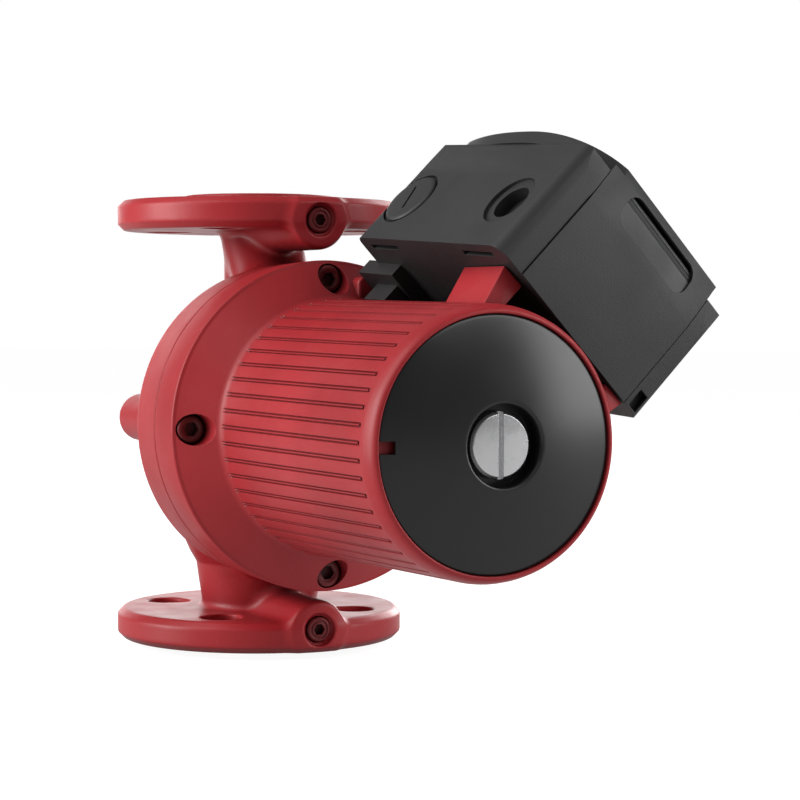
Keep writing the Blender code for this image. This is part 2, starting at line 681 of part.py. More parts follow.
def leaning_strip():
    """The wedge outside the entry wall's top strip, which leans inwards and runs down to the front."""
    top = BOX_RIM + 4
    lean = (top - STRIP_START) * math.tan(STRIP_LEAN)
    side = BOX_ENTRY_SIDE
    outline = [(side, STRIP_START), (side + lean, top), (side - 9, top), (side - 9, STRIP_START)]
    fall = Matrix.Rotation(STRIP_FALL, 4, "Y")
    return prism(outline, BOX_BACK - 3, BOX_FRONT + 5, fall @ UPRIGHT)


def saddle():
    """The stepped foot under the back of the box, which sits on the barrel."""
    low = block((-9, -37, 44), (9, -13, 61))
    high = block((-18, -44, 56), (12.5, -10.5, BOX_FLOOR + 1.5))
    return low, high


def barrel_clearance():
    grown = [(radius + 0.6, height) for radius, height in BARREL_FILLET[1:]]
    outside = [(0, grown[0][1])] + grown + [(barrel_radius(150) + 0.6, 150), (0, 150)]
    return turned(outside, 56, BOX_FRAME.inverted() @ MOTOR_FRAME)


def box_shell():
    """The open-topped box, with a ledge round its rim where the lid rests."""
    back, front, near, far = BOX_BACK, BOX_FRONT - CORNER_STEP, BOX_ENTRY_SIDE, BOX_FAR_SIDE
    outline = arc(BOX_FRONT - 3, far - 3, 3, 0, 90, 2) + arc(back + 4, far - 4, 4, 90, 180, 2)
    outline += arc(back + 4, near + 4, 4, 180, 270, 2) + arc(front - 8, near + 8, 8, 270, 360, 5)
    inner_front = BOX_FRONT - 2 * BOX_WALL - GAP
    wall = BOX_WALL
    inside = rounded_box(back + wall, near + wall, inner_front, far - wall, 3, 2)
    hollow = prism(inside, BOX_FLOOR + wall, BOX_RIM - wall)
    mouth = prism(lid_outline(7.0), BOX_RIM - wall - 1, BOX_RIM + 1)
    return joined(prism(outline, BOX_FLOOR, BOX_RIM), add=saddle(), cut=(hollow, mouth))


def make_box_base():
    front, near, far = BOX_FRONT, BOX_ENTRY_SIDE, BOX_FAR_SIDE
    recess_back = front - BOX_WALL - GAP
    recess_low = (recess_back, COVER_LEFT - GAP, BOX_FLOOR - 1)
    recess = block(recess_low, (front + 1, COVER_RIGHT + GAP, BOX_RIM + 1))
    cut = [raked_front(near - 1, far + 1, BOX_RIM + 1), leaning_strip(), recess, barrel_clearance()]
    cut.append(stepped([(PLUG_SHANK_R + GAP, -1.5), (PLUG_SINK_R, 2)], -12, 36, wall_frame(PLUG_ENTRY)))
    cut.append(stepped([(OPEN_HOLE_R, -1.6), (OPEN_SINK_R, 2)], -7.5, 36, wall_frame(OPEN_ENTRY)))
    cut.append(cylinder(11, BOX_FLOOR - 1, BOX_FLOOR + 4, 28, at(*WIRE_HOLE, 0)))
    for x, y in lug_screw_places():
        cut.append(cylinder(2.5, BOX_FLOOR - 1, BOX_FLOOR + 4, 12, at(x, y, 0)))
    for x, y in COVER_SCREWS:
        cut.append(cylinder(1.9, BOX_RIM - 12, BOX_RIM + 1, 12, at(x, y, 0)))
    for x in (0, 78):
        cut.append(block((x, -56.2, BOX_FLOOR - 1), (x + 23, -53.8, BOX_FLOOR + 4)))
    cut.append(block((front - 4, far - 7.5, BOX_FLOOR + 1), (front + 1, far - 2.5, BOX_FLOOR + 10)))
    add = [cylinder(OPEN_HOLE_R + 2.5, -9.5, -2, 28, wall_frame(OPEN_ENTRY))]
    add += [cylinder(5, BOX_FLOOR + 2, BOX_RIM, 16, at(x, y, 0)) for x, y in COVER_SCREWS]
    part("terminal_box_base", black_plastic(), box_shell(), add, cut, BOX_FRAME)


def lid_outline(inset=0.0):
    """The lid seen from outside: straight on its far side and front, bulging over the entry side."""
    back, front = BOX_BACK + inset, BOX_FRONT - inset
    far, bulge = COVER_RIGHT - inset, -60.4 + inset
    apex_x, corner_y = 57.0, -24.0
    power = 2.2
    points = arc(front - 3, far - 3, 3, 0, 90, 2) + arc(back + 3, far - 3, 3, 90, 180, 2)
    points += arc(back + 8, -45.0, 8, 180, 230, 3)
    rear_reach, front_reach = 95.0, front - apex_x
    for i in range(9):
        x = back + 8 + (apex_x - back - 8) * i / 8
        t = (apex_x - x) / rear_reach
        points.append((x, corner_y + (bulge - corner_y) * (1 - t**power) ** (1 / power)))
    for i in range(1, 11):
        angle = math.pi / 2 * i / 10
        t, s = math.sin(angle) ** (2 / power), math.cos(angle) ** (2 / power)
        points.append((apex_x + front_reach * t, corner_y + (bulge - corner_y) * s))
    return points


def inset_panel():
    """The shallow rounded panel on the raked front, deeper towards its upper edge."""
    tilt = Matrix.Rotation(-RAKE - PANEL_TILT, 4, "Y")
    return prism(rounded_box(-28.5, 5, 20, 20.5, 5), -0.1, 4, at(BOX_FRONT, 0, RAKE_START, tilt) @ UPRIGHT)


def make_cover():
    """The lid, its front plate and the two screw bosses, hollow underneath."""
    front = BOX_FRONT
    plate = block((front - BOX_WALL, COVER_LEFT, BOX_FLOOR), (front, COVER_RIGHT, BOX_RIM + 4))
    hollow = prism(lid_outline(LID_WALL + 1.2), BOX_RIM - 1, LID_TOP - LID_WALL)
    space_low = (-60, COVER_LEFT - 30, BOX_FLOOR - 1)
    behind_plate = block(space_low, (front - BOX_WALL, COVER_RIGHT + 30, BOX_RIM + GAP))
    shell = joined(prism(lid_outline(), BOX_RIM + GAP, LID_TOP), cut=(hollow,))
    add = [plate]
    add += [cylinder(5, BOX_RIM + GAP, LID_TOP - 1, 16, at(x, y, 0)) for x, y in COVER_SCREWS]
    cut = [raked_front(-80, 60, LID_TOP + 1), inset_panel(), behind_plate]
    for x, y in COVER_SCREWS:
        cut.append(stepped([(2.3, LID_TOP - 3.2), (4.4, LID_TOP + 1)], BOX_RIM - 1, 20, at(x, y, 0)))
    part("terminal_box_cover", black_plastic(), shell, add, cut, BOX_FRAME)


def screw(name, x, y, shank, head, low, seat, height):
    """A cheese-head screw with a cross slot, in the terminal box's frame."""
    top = seat + height
    profile = [(0, low), (shank, low), (shank, seat), (head, seat), (head, top), (0, top)]
    slots = [block((-head + 1, -0.5, top - 1.2), (head - 1, 0.5, top + 1))]
    slots.append(block((-0.5, -head + 1, top - 1.2), (0.5, head - 1, top + 1)))
    part(name, steel(), turned(profile, 12), cut=slots, frame=BOX_FRAME @ at(x, y, 0))


def make_box_inside():
    floor = BOX_FLOOR + BOX_WALL + GAP
    for i, (x, y) in enumerate(lug_screw_places(), 1):
        screw("box_screw_%d" % i, x, y, 2.0, 4.2, LUG_TOP - 7, floor, 3)
    for i, (x, y) in enumerate(COVER_SCREWS, 1):
        screw("cover_screw_%d" % i, x, y, 1.6, 3.9, BOX_RIM - 9, LID_TOP - 2.9, 2.6)
    x, y = WIRE_HOLE
    low, flange_top = LUG_TOP + GAP + 0.2, floor + 1.6
    grommet = [(7, low), (10.7, low), (10.7, floor), (13, floor), (13, flange_top), (7, flange_top)]
    part("wire_grommet", rubber(), turned(grommet, 20), frame=BOX_FRAME @ at(x, y, 0))
    block_low, block_high = (27, -57.0, floor), (73, -46.0, floor + 13)
    wells = [cylinder(2.1, floor + 9, floor + 14, 10, at(31 + 7.6 * i, -51.5, 0)) for i in range(6)]
    part("terminal_block", white_plastic(), block(block_low, block_high), cut=wells, frame=BOX_FRAME)
    along = at(0, 18, floor + 16.5, Matrix.Rotation(math.pi / 2, 4, "Y"))
    can = [(0, 2), (13, 2), (14, 3), (14, 61), (13, 62), (4, 62), (4, 66), (0, 66)]
    part("run_capacitor", aluminium(), turned(can, 24), frame=BOX_FRAME @ along)
    switch = block((30, -33, floor), (58, -3, floor + 22))
    part("speed_switch_body", black_plastic(), switch, frame=BOX_FRAME)
    knob_low, knob_top = floor + 22.3, floor + 31
    knob = turned([(0, knob_low), (10, knob_low), (10, knob_top - 1), (9, knob_top), (0, knob_top)], 20)
    pointer = block((-9, -1.6, floor + 30), (9, 1.6, floor + 36))
    part("speed_selector", red_plastic(), knob, [pointer], frame=BOX_FRAME @ at(44, -18, 0))
    hang_on("selector_axis", (44, -18, floor + 22), BOX_FRAME, ("speed_selector",))
    covers = ("terminal_box_cover", "cover_screw_1", "cover_screw_2")
    hang_on("cover_slide", (0, 0, BOX_RIM), BOX_FRAME, covers)


def make_blanking_plug():
    frame = wall_frame(PLUG_ENTRY)
    profile = [(0, -4.6), (PLUG_SHANK_R, -4.6), (PLUG_SHANK_R, -1.2), (PLUG_HEAD_R, -1.2)]
    profile += [(PLUG_HEAD_R, -0.2), (PLUG_HEAD_R - 1.4, 0.7), (0, 0.9)]
    slot_turn = Matrix.Rotation(math.radians(20), 4, "Z")
    slot = block((-0.7, -7.3, -0.6), (0.7, 7.3, 2), slot_turn)
    part("blanking_plug", black_plastic(), turned(profile, 28), cut=[slot], frame=BOX_FRAME @ frame)


def make_motor_leads():
    """The bundle of leads from the winding's front end, up through the wire hole to the terminal block."""
    x, y = WIRE_HOLE
    floor = BOX_FLOOR + BOX_WALL + GAP
    route = [(x + 3, y, 49.2), (x, y, 56), (x, y, floor + 3), (x - 2, y - 6, floor + 9)]
    route += [(x - 6, y - 20, floor + 13.5), (x - 9, y - 36, floor + 16.5), (66, -50, floor + 18)]
    curve = bpy.data.curves.new("motor_leads", "CURVE")
    curve.dimensions = "3D"
    curve.bevel_depth = 2.2 * MM
    curve.bevel_resolution = 1
    curve.use_fill_caps = True
    points = smooth_route([Vector(p) for p in route], 4)
    spline = curve.splines.new("POLY")
    spline.points.add(len(points) - 1)
    for target, point in zip(spline.points, points):
        target.co = (*(point * MM), 1)
    made = bpy.data.objects.new("motor_leads", curve)
    bpy.context.scene.collection.objects.link(made)
    made.matrix_world = BOX_FRAME
    curve.materials.append(rubber())


def smooth_route(points, between):
    """Points on a Catmull-Rom curve through the route."""
    ends = [points[0] * 2 - points[1]] + points + [points[-1] * 2 - points[-2]]
    result = []
    for a, b, c, d in zip(ends, ends[1:], ends[2:], ends[3:]):
        square, cube = 2 * a - 5 * b + 4 * c - d, 3 * b - a - 3 * c + d
        for i in range(between):
            t = i / between
            result.append(0.5 * (2 * b + (c - a) * t + square * t**2 + cube * t**3))
    return result + [points[-1]]


def main():
    for old in list(bpy.data.objects):
        bpy.data.objects.remove(old)
    make_pump_housing()
    make_gauge_plugs()
    make_hydraulics()
    make_rotor()
    make_motor_housing()
    make_motor_inside()
    make_motor_bolts()
    make_front()
    make_box_base()
    make_cover()
    make_blanking_plug()
    make_box_inside()
    make_motor_leads()


main()
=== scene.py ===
"""The looks of the circulator pump: its cast, machined and moulded surfaces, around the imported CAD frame."""

import json
from math import cos, hypot, pi, radians, sin, sqrt, tan

import bmesh
import bpy
import numpy as np
from mathutils import Matrix, Vector


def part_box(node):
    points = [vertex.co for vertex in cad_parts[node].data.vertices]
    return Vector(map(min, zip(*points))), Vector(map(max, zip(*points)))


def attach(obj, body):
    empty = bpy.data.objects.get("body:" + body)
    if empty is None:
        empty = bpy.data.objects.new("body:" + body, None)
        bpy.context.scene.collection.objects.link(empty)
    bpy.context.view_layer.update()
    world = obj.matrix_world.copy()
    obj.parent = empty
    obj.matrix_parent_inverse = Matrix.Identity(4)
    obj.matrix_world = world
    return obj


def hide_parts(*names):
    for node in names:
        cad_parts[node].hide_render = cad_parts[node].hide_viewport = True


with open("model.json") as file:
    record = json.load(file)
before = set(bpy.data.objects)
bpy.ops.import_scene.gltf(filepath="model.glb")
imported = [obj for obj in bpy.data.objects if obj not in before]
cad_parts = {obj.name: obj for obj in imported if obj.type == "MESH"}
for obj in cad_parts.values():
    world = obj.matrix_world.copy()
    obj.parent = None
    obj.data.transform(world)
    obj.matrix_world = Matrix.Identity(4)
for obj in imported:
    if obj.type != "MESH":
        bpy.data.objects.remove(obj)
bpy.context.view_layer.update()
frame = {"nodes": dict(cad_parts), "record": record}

MM = 0.001
GAP = 0.3

# ---- sizes, in millimetres
# As in the CAD, apart from the flare and the grooves, which follow the photo.

PORT_TO_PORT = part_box("pump_housing")[1].z / MM
SHAFT_Z = PORT_TO_PORT / 2
PORT_R = 16.0
FLANGE_R, FLANGE_CHAMFER = 70.0, 3.1
RAISED_FACE_R, RAISED_FACE, FLANGE_BACK = 37.5, 2.6, 17.4
SMALL_BOLT_CIRCLE_R, SMALL_BOLT_R = 45.0, 7.0
LARGE_BOLT_CIRCLE_R, LARGE_BOLT_R = 50.0, 9.5
GAUGE_Z, GAUGE_BOSS_R, GAUGE_FRONT = 13.7, 14.0, 70.8
GAUGE_SINK_R, GAUGE_PLUG_R = 7.6, 5.9
GAUGE_PLUG_BACK, GAUGE_HEX, GAUGE_SOCKET_DEPTH = 58, 5, 4
REAR_BOSS_X, REAR_BOSS_R, REAR_BOSS_BACK, REAR_BOSS_END = 47.3, 11.7, -24, 42
REAR_BOLT_R, REAR_BOLT_DEPTH = 5.1, 18
FIELD_LOW, FIELD_HIGH = (-80, -79, -4), (80, 74, PORT_TO_PORT + 4)
FIELD_STEP, QUICK_FIELD_STEP, NECK_BLEND = 0.8, 1.6, 9
RING_BACK, RING_FRONT = 26.7, 53.7
MOTOR_BACK, FLANGE_FRONT = 54.0, 78.1
BARREL_ROOT, BARREL_FRONT, RIM_FRONT, CAVITY_END = 116.0, 233.8, 238.6, 222.0
DISC_BACK, DISC_FRONT = 236.2, 237.4
VENT_SEAT, VENT_HEAD_BACK, VENT_HEAD_FRONT = 233.8, 236.0, 241.8
RING_BACK_R, RING_R, MOTOR_FLANGE_R = 75.3, 76.5, 77.3
BARREL_ROOT_R, BARREL_FRONT_R = 58.8, 57.3
STATOR_BORE_R, DISC_R, DISC_HOLE_R, DISC_CROWN_R = 50.0, 53.0, 17.2, 163.0
DISC_WALL, COLLAR_WALL = 1.3, 0.9
VENT_HEAD_R, VENT_SHANK_R, VENT_TIP = 13.8, 10.0, 223.5
VENT_SLOT_HALF, VENT_SLOT_DEPTH, SEAL_R, SEAL_THICK = 1.2, 2.2, 11.7, 0.9
NOTCH_HALF, NOTCH_REACH = 2.6, 6.5
CHAMBER_R, SPIGOT_R, SPIGOT_CHAMFER, NECK_BORE_R = 59.0, 60.8, 2.8, 25.3
BOLT_CIRCLE_R, BOLT_HEAD_R, BOLT_SHANK_R, BOLT_HEAD_FRONT = 68.5, 6.5, 3.9, 79.5
BOLT_TIP, BOLT_HOLE_END, BOLT_HEX, BOLT_SOCKET_DEPTH = 35, 33, 6, 4.4
COUNTERBORE_R, COUNTERBORE_FLOOR = 7.2, 71.0

BOX_TURN, BOX_SKEW, BOX_START = radians(45.0), radians(4.4), 110.0
BOX_BACK, BOX_FRONT = -8.0, 112.0
BOX_ENTRY_SIDE, BOX_FAR_SIDE = -60.5, 42.0
BOX_FLOOR, BOX_RIM, LID_TOP = 62.5, 124.6, 132.0
BOX_WALL, LID_WALL = 3.0, 2.5
COVER_LEFT, COVER_RIGHT = -44.0, 32.0
RAKE_START, RAKE, PANEL_TILT = 108.0, radians(7.0), radians(4.0)
STRIP_START, STRIP_LEAN, STRIP_FALL = 106.0, radians(2.6), radians(1.3)
PLUG_ENTRY, OPEN_ENTRY = (8.0, 88.3), (88.6, 89.4)
PLUG_SINK_R, PLUG_HEAD_R, PLUG_SHANK_R = 15.2, 13.9, 10.7
OPEN_SINK_R, OPEN_HOLE_R = 13.4, 9.0
WIRE_HOLE, WIRE_NECK_R, WIRE_BORE_R, WIRE_HOLE_R = (84.0, -2.0), 13, 8, 11
LUG_TOP, LUG_BACK, LUG_FRONT = 62.2, 183.0, 217.6
LUG_OUTER, LUG_INNER, LUG_LEAN = 41.0, 29.0, radians(13.6)
LUG_BOTTOM, LUG_SCREW_AT, LUG_SCREW_R = 30.0, (200.0, 35.0), 2.3
COVER_SCREWS, COVER_SCREW_R, COVER_HEAD_R, COVER_POST_R = ((98.0, 14.0), (3.0, -44.0)), 2.3, 4.4, 5
PAD_BACK, PAD_FRONT = 77, 91.5
CORNER_STEP = 0.8
FLARE = [(75.4, 78.7), (61.3, 91.0), (60.5, 91.8), (59.9, 92.7), (59.5, 93.6), (59.3, 94.5)]
FLARE_TO_BARREL = FLARE[1:] + [(BARREL_ROOT_R, BARREL_ROOT)]

GROOVES = 50
GROOVE_TURN = radians(-1.6)
SLIT_AT, SLIT_HALF, SLIT_DEPTH, BEAD_DROP = 0.66, 0.34, 0.85, 0.15
GROOVE_START, GROOVE_END = 94.4, 227.8
DRILL_R, DRILL_DEPTH, STAVE_FALL = 1.0, 2.4, 0.15
GROOVE_MARKS = (0.12, 0.3, 0.36, 0.46, 0.56, 0.66, 0.76, 0.86, 0.94, 1.02)
STAVE_MARKS = (0.12, 0.26, 0.42, 0.58, 0.74, 0.88)

MOTOR_FRAME = Matrix(((1, 0, 0, 0), (0, 0, -1, 0), (0, 1, 0, SHAFT_Z * MM), (0, 0, 0, 1)))
TO_MOTOR = MOTOR_FRAME.inverted()
ALONG_Y = Matrix.Rotation(pi / 2, 4, "X")
UPRIGHT = Matrix(((0, 0, 1, 0), (1, 0, 0, 0), (0, 1, 0, 0), (0, 0, 0, 1)))
SQUARE_BOX_FRAME = MOTOR_FRAME @ Matrix.Rotation(BOX_TURN, 4, "Z") @ Matrix(
    ((0, 0, 1, 0), (0, -1, 0, 0), (1, 0, 0, 0), (0, 0, 0, 1))
)


def box_frame():
    """Rotation and place of the terminal box: columns are its front, across and outward directions."""
    front, across = Vector((0, -1, 0)), Vector((sin(BOX_TURN), 0, -cos(BOX_TURN)))
    outward = Vector((sin(BOX_TURN), 0, cos(BOX_TURN)))
    skewed_front = front * cos(BOX_SKEW) + across * sin(BOX_SKEW)
    skewed_across = across * cos(BOX_SKEW) - front * sin(BOX_SKEW)
    turn = Matrix((skewed_front, skewed_across, outward)).transposed().to_4x4()
    return Matrix.Translation((0, -BOX_START * MM, SHAFT_Z * MM)) @ turn


BOX_FRAME = box_frame()


def at(x, y, z, turn=None):
    return Matrix.Translation((x * MM, y * MM, z * MM)) @ (turn or Matrix())


# ---- shapes


def close(bm, place):
    bmesh.ops.remove_doubles(bm, verts=bm.verts, dist=1e-7)
    bmesh.ops.recalc_face_normals(bm, faces=bm.faces)
    bmesh.ops.transform(bm, matrix=place or Matrix(), verts=bm.verts)
    return bm


def turned(profile, steps=128, place=None):
    """A profile of (radius, height) points spun about Z."""
    bm = bmesh.new()
    verts = [bm.verts.new((r * MM, 0, h * MM)) for r, h in profile]
    edges = [bm.edges.new(pair) for pair in zip(verts, verts[1:])]
    if profile[0][0] > 0 or profile[-1][0] > 0:
        edges.append(bm.edges.new((verts[-1], verts[0])))
    bmesh.ops.spin(
        bm, geom=verts + edges, cent=(0, 0, 0), axis=(0, 0, 1), angle=2 * pi, steps=steps, use_merge=True
    )
    return close(bm, place)


def eased(profile, radius, count=3):
    """The profile with each corner rounded to at most the radius."""
    out = [profile[0]]
    for i in range(1, len(profile) - 1):
        before, here, after = (Vector(profile[j]) for j in (i - 1, i, i + 1))
        into, away = before - here, after - here
        turn = pi - into.angle(away) if into.length > 1e-6 and away.length > 1e-6 else 0
        if turn < radians(12):
            out.append(profile[i])
            continue
        reach = min(radius * tan(turn / 2), into.length * 0.45, away.length * 0.45)
        start, end = here + into.normalized() * reach, here + away.normalized() * reach
        for k in range(count + 1):
            t = k / count
            point = start * (1 - t) ** 2 + here * 2 * t * (1 - t) + end * t**2
            out.append((point.x, point.y))
    return out + [profile[-1]]


def stepped(steps_up, low, count=64, place=None):
    profile = [(0, low)]
    for radius, high in steps_up:
        profile += [(radius, profile[-1][1]), (radius, high)]
    return turned(profile + [(0, profile[-1][1])], count, place)


def cylinder(radius, low, high, steps=64, place=None, chamfer=0.0):
    profile = [(0, low), (radius, low), (radius, high - chamfer)]
    if chamfer:
        profile.append((radius - chamfer, high))
    return turned(profile + [(0, high)], steps, place)


def prism(outline, low, high, place=None):
    bm = bmesh.new()
    face = bm.faces.new([bm.verts.new((x * MM, y * MM, low * MM)) for x, y in outline])
    top = bmesh.ops.extrude_face_region(bm, geom=[face])["geom"]
    moved = [item for item in top if isinstance(item, bmesh.types.BMVert)]
    bmesh.ops.translate(bm, vec=(0, 0, (high - low) * MM), verts=moved)
    return close(bm, place)


def block(low, high, place=None):
    (x0, y0, z0), (x1, y1, z1) = low, high
    return prism([(x0, y0), (x1, y0), (x1, y1), (x0, y1)], z0, z1, place)


def arc(cx, cy, radius, start, end, count):
    points = []
    for i in range(count + 1):
        angle = radians(start + (end - start) * i / count)
        points.append((cx + radius * cos(angle), cy + radius * sin(angle)))
    return points


def rounded_box(x0, y0, x1, y1, radius, count=8):
    x0, y0, x1, y1 = x0 + radius, y0 + radius, x1 - radius, y1 - radius
    corners = ((x1, y1, 0), (x0, y1, 90), (x0, y0, 180), (x1, y0, 270))
    return [point for x, y, turn in corners for point in arc(x, y, radius, turn, turn + 90, count)]


def hexagon(across_flats):
    return arc(0, 0, across_flats / sqrt(3), 0, 300, 5)


def placed(name, data):
    made = bpy.data.objects.new(name, data)
    bpy.context.scene.collection.objects.link(made)
    return made


def new_object(name, bm):
    mesh = bpy.data.meshes.new(name)
    bm.to_mesh(mesh)
    bm.free()
    return placed(name, mesh)


def discard(made):
    mesh = made.data
    bpy.data.objects.remove(made)
    bpy.data.meshes.remove(mesh)


def combine(target, bm, operation):
    tool = new_object("tool", bm)
    modifier = target.modifiers.new("combine", "BOOLEAN")
    modifier.operation, modifier.solver, modifier.object = operation, "EXACT", tool
    graph = bpy.context.evaluated_depsgraph_get()
    result = bpy.data.meshes.new_from_object(target.evaluated_get(graph))
    target.modifiers.clear()
    old, target.data = target.data, result
    bpy.data.meshes.remove(old)
    discard(tool)


def assembled(name, base, add, cut):
    made = new_object(name, base)
    for shape in add:
        combine(made, shape, "UNION")
    for shape in cut:
        combine(made, shape, "DIFFERENCE")
    return made


def joined(base, add=(), cut=()):
    made = assembled("joined", base, add, cut)
    shape = bmesh.new()
    shape.from_mesh(made.data)
    discard(made)
    return shape


def piece(name, node, finish, base, add=(), cut=(), place=None, smooth=35):
    """One detailed piece that stands for a CAD node and rides on the same body."""
    made = assembled(name, base, add, cut)
    made.data.transform(place or Matrix())
    dress(made, node, finish, smooth)
    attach(made, BODY_OF[node])
    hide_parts(node)
    return made


def dress(made, node, finish, smooth):
    made.data.name = made.name
    made.data.materials.clear()
    made.data.materials.append(finish)
    made.data.shade_smooth()
    if smooth:
        made.data.set_sharp_from_angle(angle=radians(smooth))


BODY_OF = {node: body for body, nodes in frame["record"]["behaviour"]["bodies"].items() for node in nodes}
SLOT_OF = {row["node"]: row["material_slot"] for row in frame["record"]["subparts"]}


# ---- materials


class Nodes:
    """A small helper that builds one material's node tree."""

    def __init__(self, name):
        self.material = bpy.data.materials.new(name)
        self.material.use_nodes = True
        self.tree = self.material.node_tree
        self.shader = self.tree.nodes["Principled BSDF"]
        self.place = self.add("ShaderNodeTexCoord").outputs["Object"]

    def add(self, kind, inputs=None, **settings):
        node = self.tree.nodes.new(kind)
        for key, value in settings.items():
            setattr(node, key, value)
        for key, value in (inputs or {}).items():
            node.inputs[key].default_value = value
        return node

    def link(self, source, target):
        self.tree.links.new(source, target)

    def noise(self, scale, detail=4.0, rough=0.55, stretch=None):
        place = self.place
        if stretch:
            mapping = self.add("ShaderNodeMapping", {"Scale": stretch})
            self.link(place, mapping.inputs["Vector"])
            place = mapping.outputs["Vector"]
        node = self.add("ShaderNodeTexNoise", {"Scale": scale, "Detail": detail, "Roughness": rough})
        self.link(place, node.inputs["Vector"])
        return node.outputs["Fac"]

    def cells(self, scale):
        node = self.add("ShaderNodeTexVoronoi", {"Scale": scale})
        self.link(self.place, node.inputs["Vector"])
        return node.outputs["Distance"]

    def ramp(self, factor, stops):
        """stops: (position, colour or grey)."""
        node = self.add("ShaderNodeValToRGB")
        elements = node.color_ramp.elements
        while len(elements) < len(stops):
            elements.new(0.5)
        for element, (position, colour) in zip(elements, stops):
            element.position = position
            grey = isinstance(colour, (int, float))
            element.color = (colour, colour, colour, 1) if grey else (*colour, 1)
        self.link(factor, node.inputs["Fac"])
        return node.outputs["Color"]

    def patches(self, scale, detail, *stops):
        """Noise through a ramp."""
        return self.ramp(self.noise(scale, detail), stops)

    def mix(self, factor, first, second, kind="MIX"):
        node = self.add("ShaderNodeMix", data_type="RGBA", blend_type=kind)
        for name, value in (("Factor", factor), ("A", first), ("B", second)):
            socket = node.inputs[name]
            if isinstance(value, (int, float)):
                socket.default_value = value if socket.type == "VALUE" else (value, value, value, 1)
            elif isinstance(value, tuple):
                socket.default_value = (*value, 1)
            else:
                self.link(value, socket)
        return node.outputs["Result"]

    def paint_shade_in_corners(self, base, distance, *stops):
        """Paints shade into the colour: darkens corners and holes that something closes off within the
        distance, in metres.
        """
        corner_shade = self.add("ShaderNodeAmbientOcclusion", {"Distance": distance}, samples=4)
        return self.mix(1.0, base, self.ramp(corner_shade.outputs["AO"], stops), "MULTIPLY")

    def bump(self, layers, rounding=0.0):
        """layers: (height output, distance in mm)."""
        normal = None
        if rounding:
            normal = self.add("ShaderNodeBevel", {"Radius": rounding * MM}, samples=4).outputs["Normal"]
        for height, distance in layers:
            node = self.add("ShaderNodeBump", {"Distance": distance * MM, "Strength": 1.0})
            self.link(height, node.inputs["Height"])
            if normal:
                self.link(normal, node.inputs["Normal"])
            normal = node.outputs["Normal"]
        self.link(normal, self.shader.inputs["Normal"])

    def set(self, **values):
        for key, value in values.items():
            socket = self.shader.inputs[key.replace("_", " ")]
            if hasattr(value, "is_output"):
                self.link(value, socket)
            else:
                socket.default_value = (*value, 1) if isinstance(value, tuple) else value
        return self.material


def shade(colour, factor, plus=0.0):
    return tuple(min(1, c * factor + plus) for c in colour)


def paint(name, colour, cast):
    """Sprayed enamel: it follows the sand's grain on the rough casting, and is smoother elsewhere."""
    made = Nodes(name)
    blotch = made.patches(9, 3, (0.35, 0), (0.65, 1))
    base = made.mix(blotch, shade(colour, 0.82), shade(colour, 1.12, 0.004))
    # Painted shade: the enamel's colour darkens in corners, creases and holes that nearby surfaces close off
    # within 12 mm.
    base = made.paint_shade_in_corners(base, 0.012, (0.1, 0.2), (0.85, 1.0))
    dust = made.patches(420, 2, (0.62, 0), (0.74, 1))
    base = made.mix(made.mix(0.06, 0.0, dust), base, shade(colour, 1, 0.12))
    grain = made.noise(900 if cast else 1500, 3, 0.6)
    orange = made.noise(260, 2)
    made.bump([(orange, 0.05 if cast else 0.02), (grain, 0.035 if cast else 0.01)], 0.5)
    rough = made.patches(60, 4, (0.3, 0.36), (0.7, 0.47))
    return made.set(Base_Color=base, Roughness=rough, Specular_IOR_Level=0.3)


def plastic(name, colour, roughness, grain_size, rounding=0.4):
    """Moulded plastic with a fine spark-eroded grain."""
    made = Nodes(name)
    blotch = made.patches(14, 4, (0.3, 0), (0.7, 1))
    base = made.mix(blotch, shade(colour, 0.88), shade(colour, 1.12))
    specks = made.patches(700, 2, (0.6, 0), (0.8, 1))
    base = made.mix(made.mix(0.1, 0.0, specks), base, shade(colour, 1.8))
    # Painted shade: the plastic's colour darkens in corners, holes and undersides that nearby surfaces close
    # off within 40 mm.
    base = made.paint_shade_in_corners(base, 0.04, (0.1, 0.25), (0.8, 1.0))
    grain = made.cells(1400 / grain_size)
    made.bump([(grain, 0.03 * grain_size), (made.noise(120, 2), 0.01)], rounding)
    rough = made.patches(45, 4, (0.3, roughness - 0.06), (0.7, roughness + 0.06))
    return made.set(Base_Color=base, Roughness=rough, Specular_IOR_Level=0.4)


def lacquer(name, colour, roughness):
    """A smooth glossy coat with the faintest waviness and a few specks of dust."""
    made = Nodes(name)
    specks = made.patches(1500, 2, (0.7, 0), (0.8, 1))
    base = made.mix(made.mix(0.12, 0.0, specks), colour, shade(colour, 1, 0.05))
    made.bump([(made.noise(25, 2), 0.02), (made.noise(2600, 2), 0.002)], 0.2)
    rough = made.patches(60, 3, (0.3, roughness - 0.02), (0.7, roughness + 0.02))
    return made.set(Base_Color=base, Roughness=rough, Specular_IOR_Level=0.5)


def metal(name, colour, roughness, lines=None):
    """Turned or brushed metal: fine tool marks, with a little tarnish between them."""
    made = Nodes(name)
    tarnish = made.patches(30, 4, (0.3, 0), (0.75, 1))
    base = made.mix(tarnish, shade(colour, 0.85), colour)
    marks = made.noise(600, 3, 0.6, lines or (1, 1, 1))
    made.bump([(marks, 0.015)], 0.25)
    rough = made.patches(90, 3, (0.3, roughness - 0.05), (0.7, roughness + 0.08))
    return made.set(Base_Color=base, Roughness=rough, Metallic=1.0)


def matt(name, colour, roughness):
    """Rubber, carbon and other dull surfaces."""
    made = Nodes(name)
    blotch = made.patches(40, 4, (0.3, 0), (0.7, 1))
    base = made.mix(blotch, shade(colour, 0.8), shade(colour, 1.3))
    made.bump([(made.noise(1200, 3), 0.02)], 0.3)
    rough = made.patches(80, 3, (0.3, roughness - 0.08), (0.7, roughness + 0.05))
    return made.set(Base_Color=base, Roughness=rough, Specular_IOR_Level=0.35)


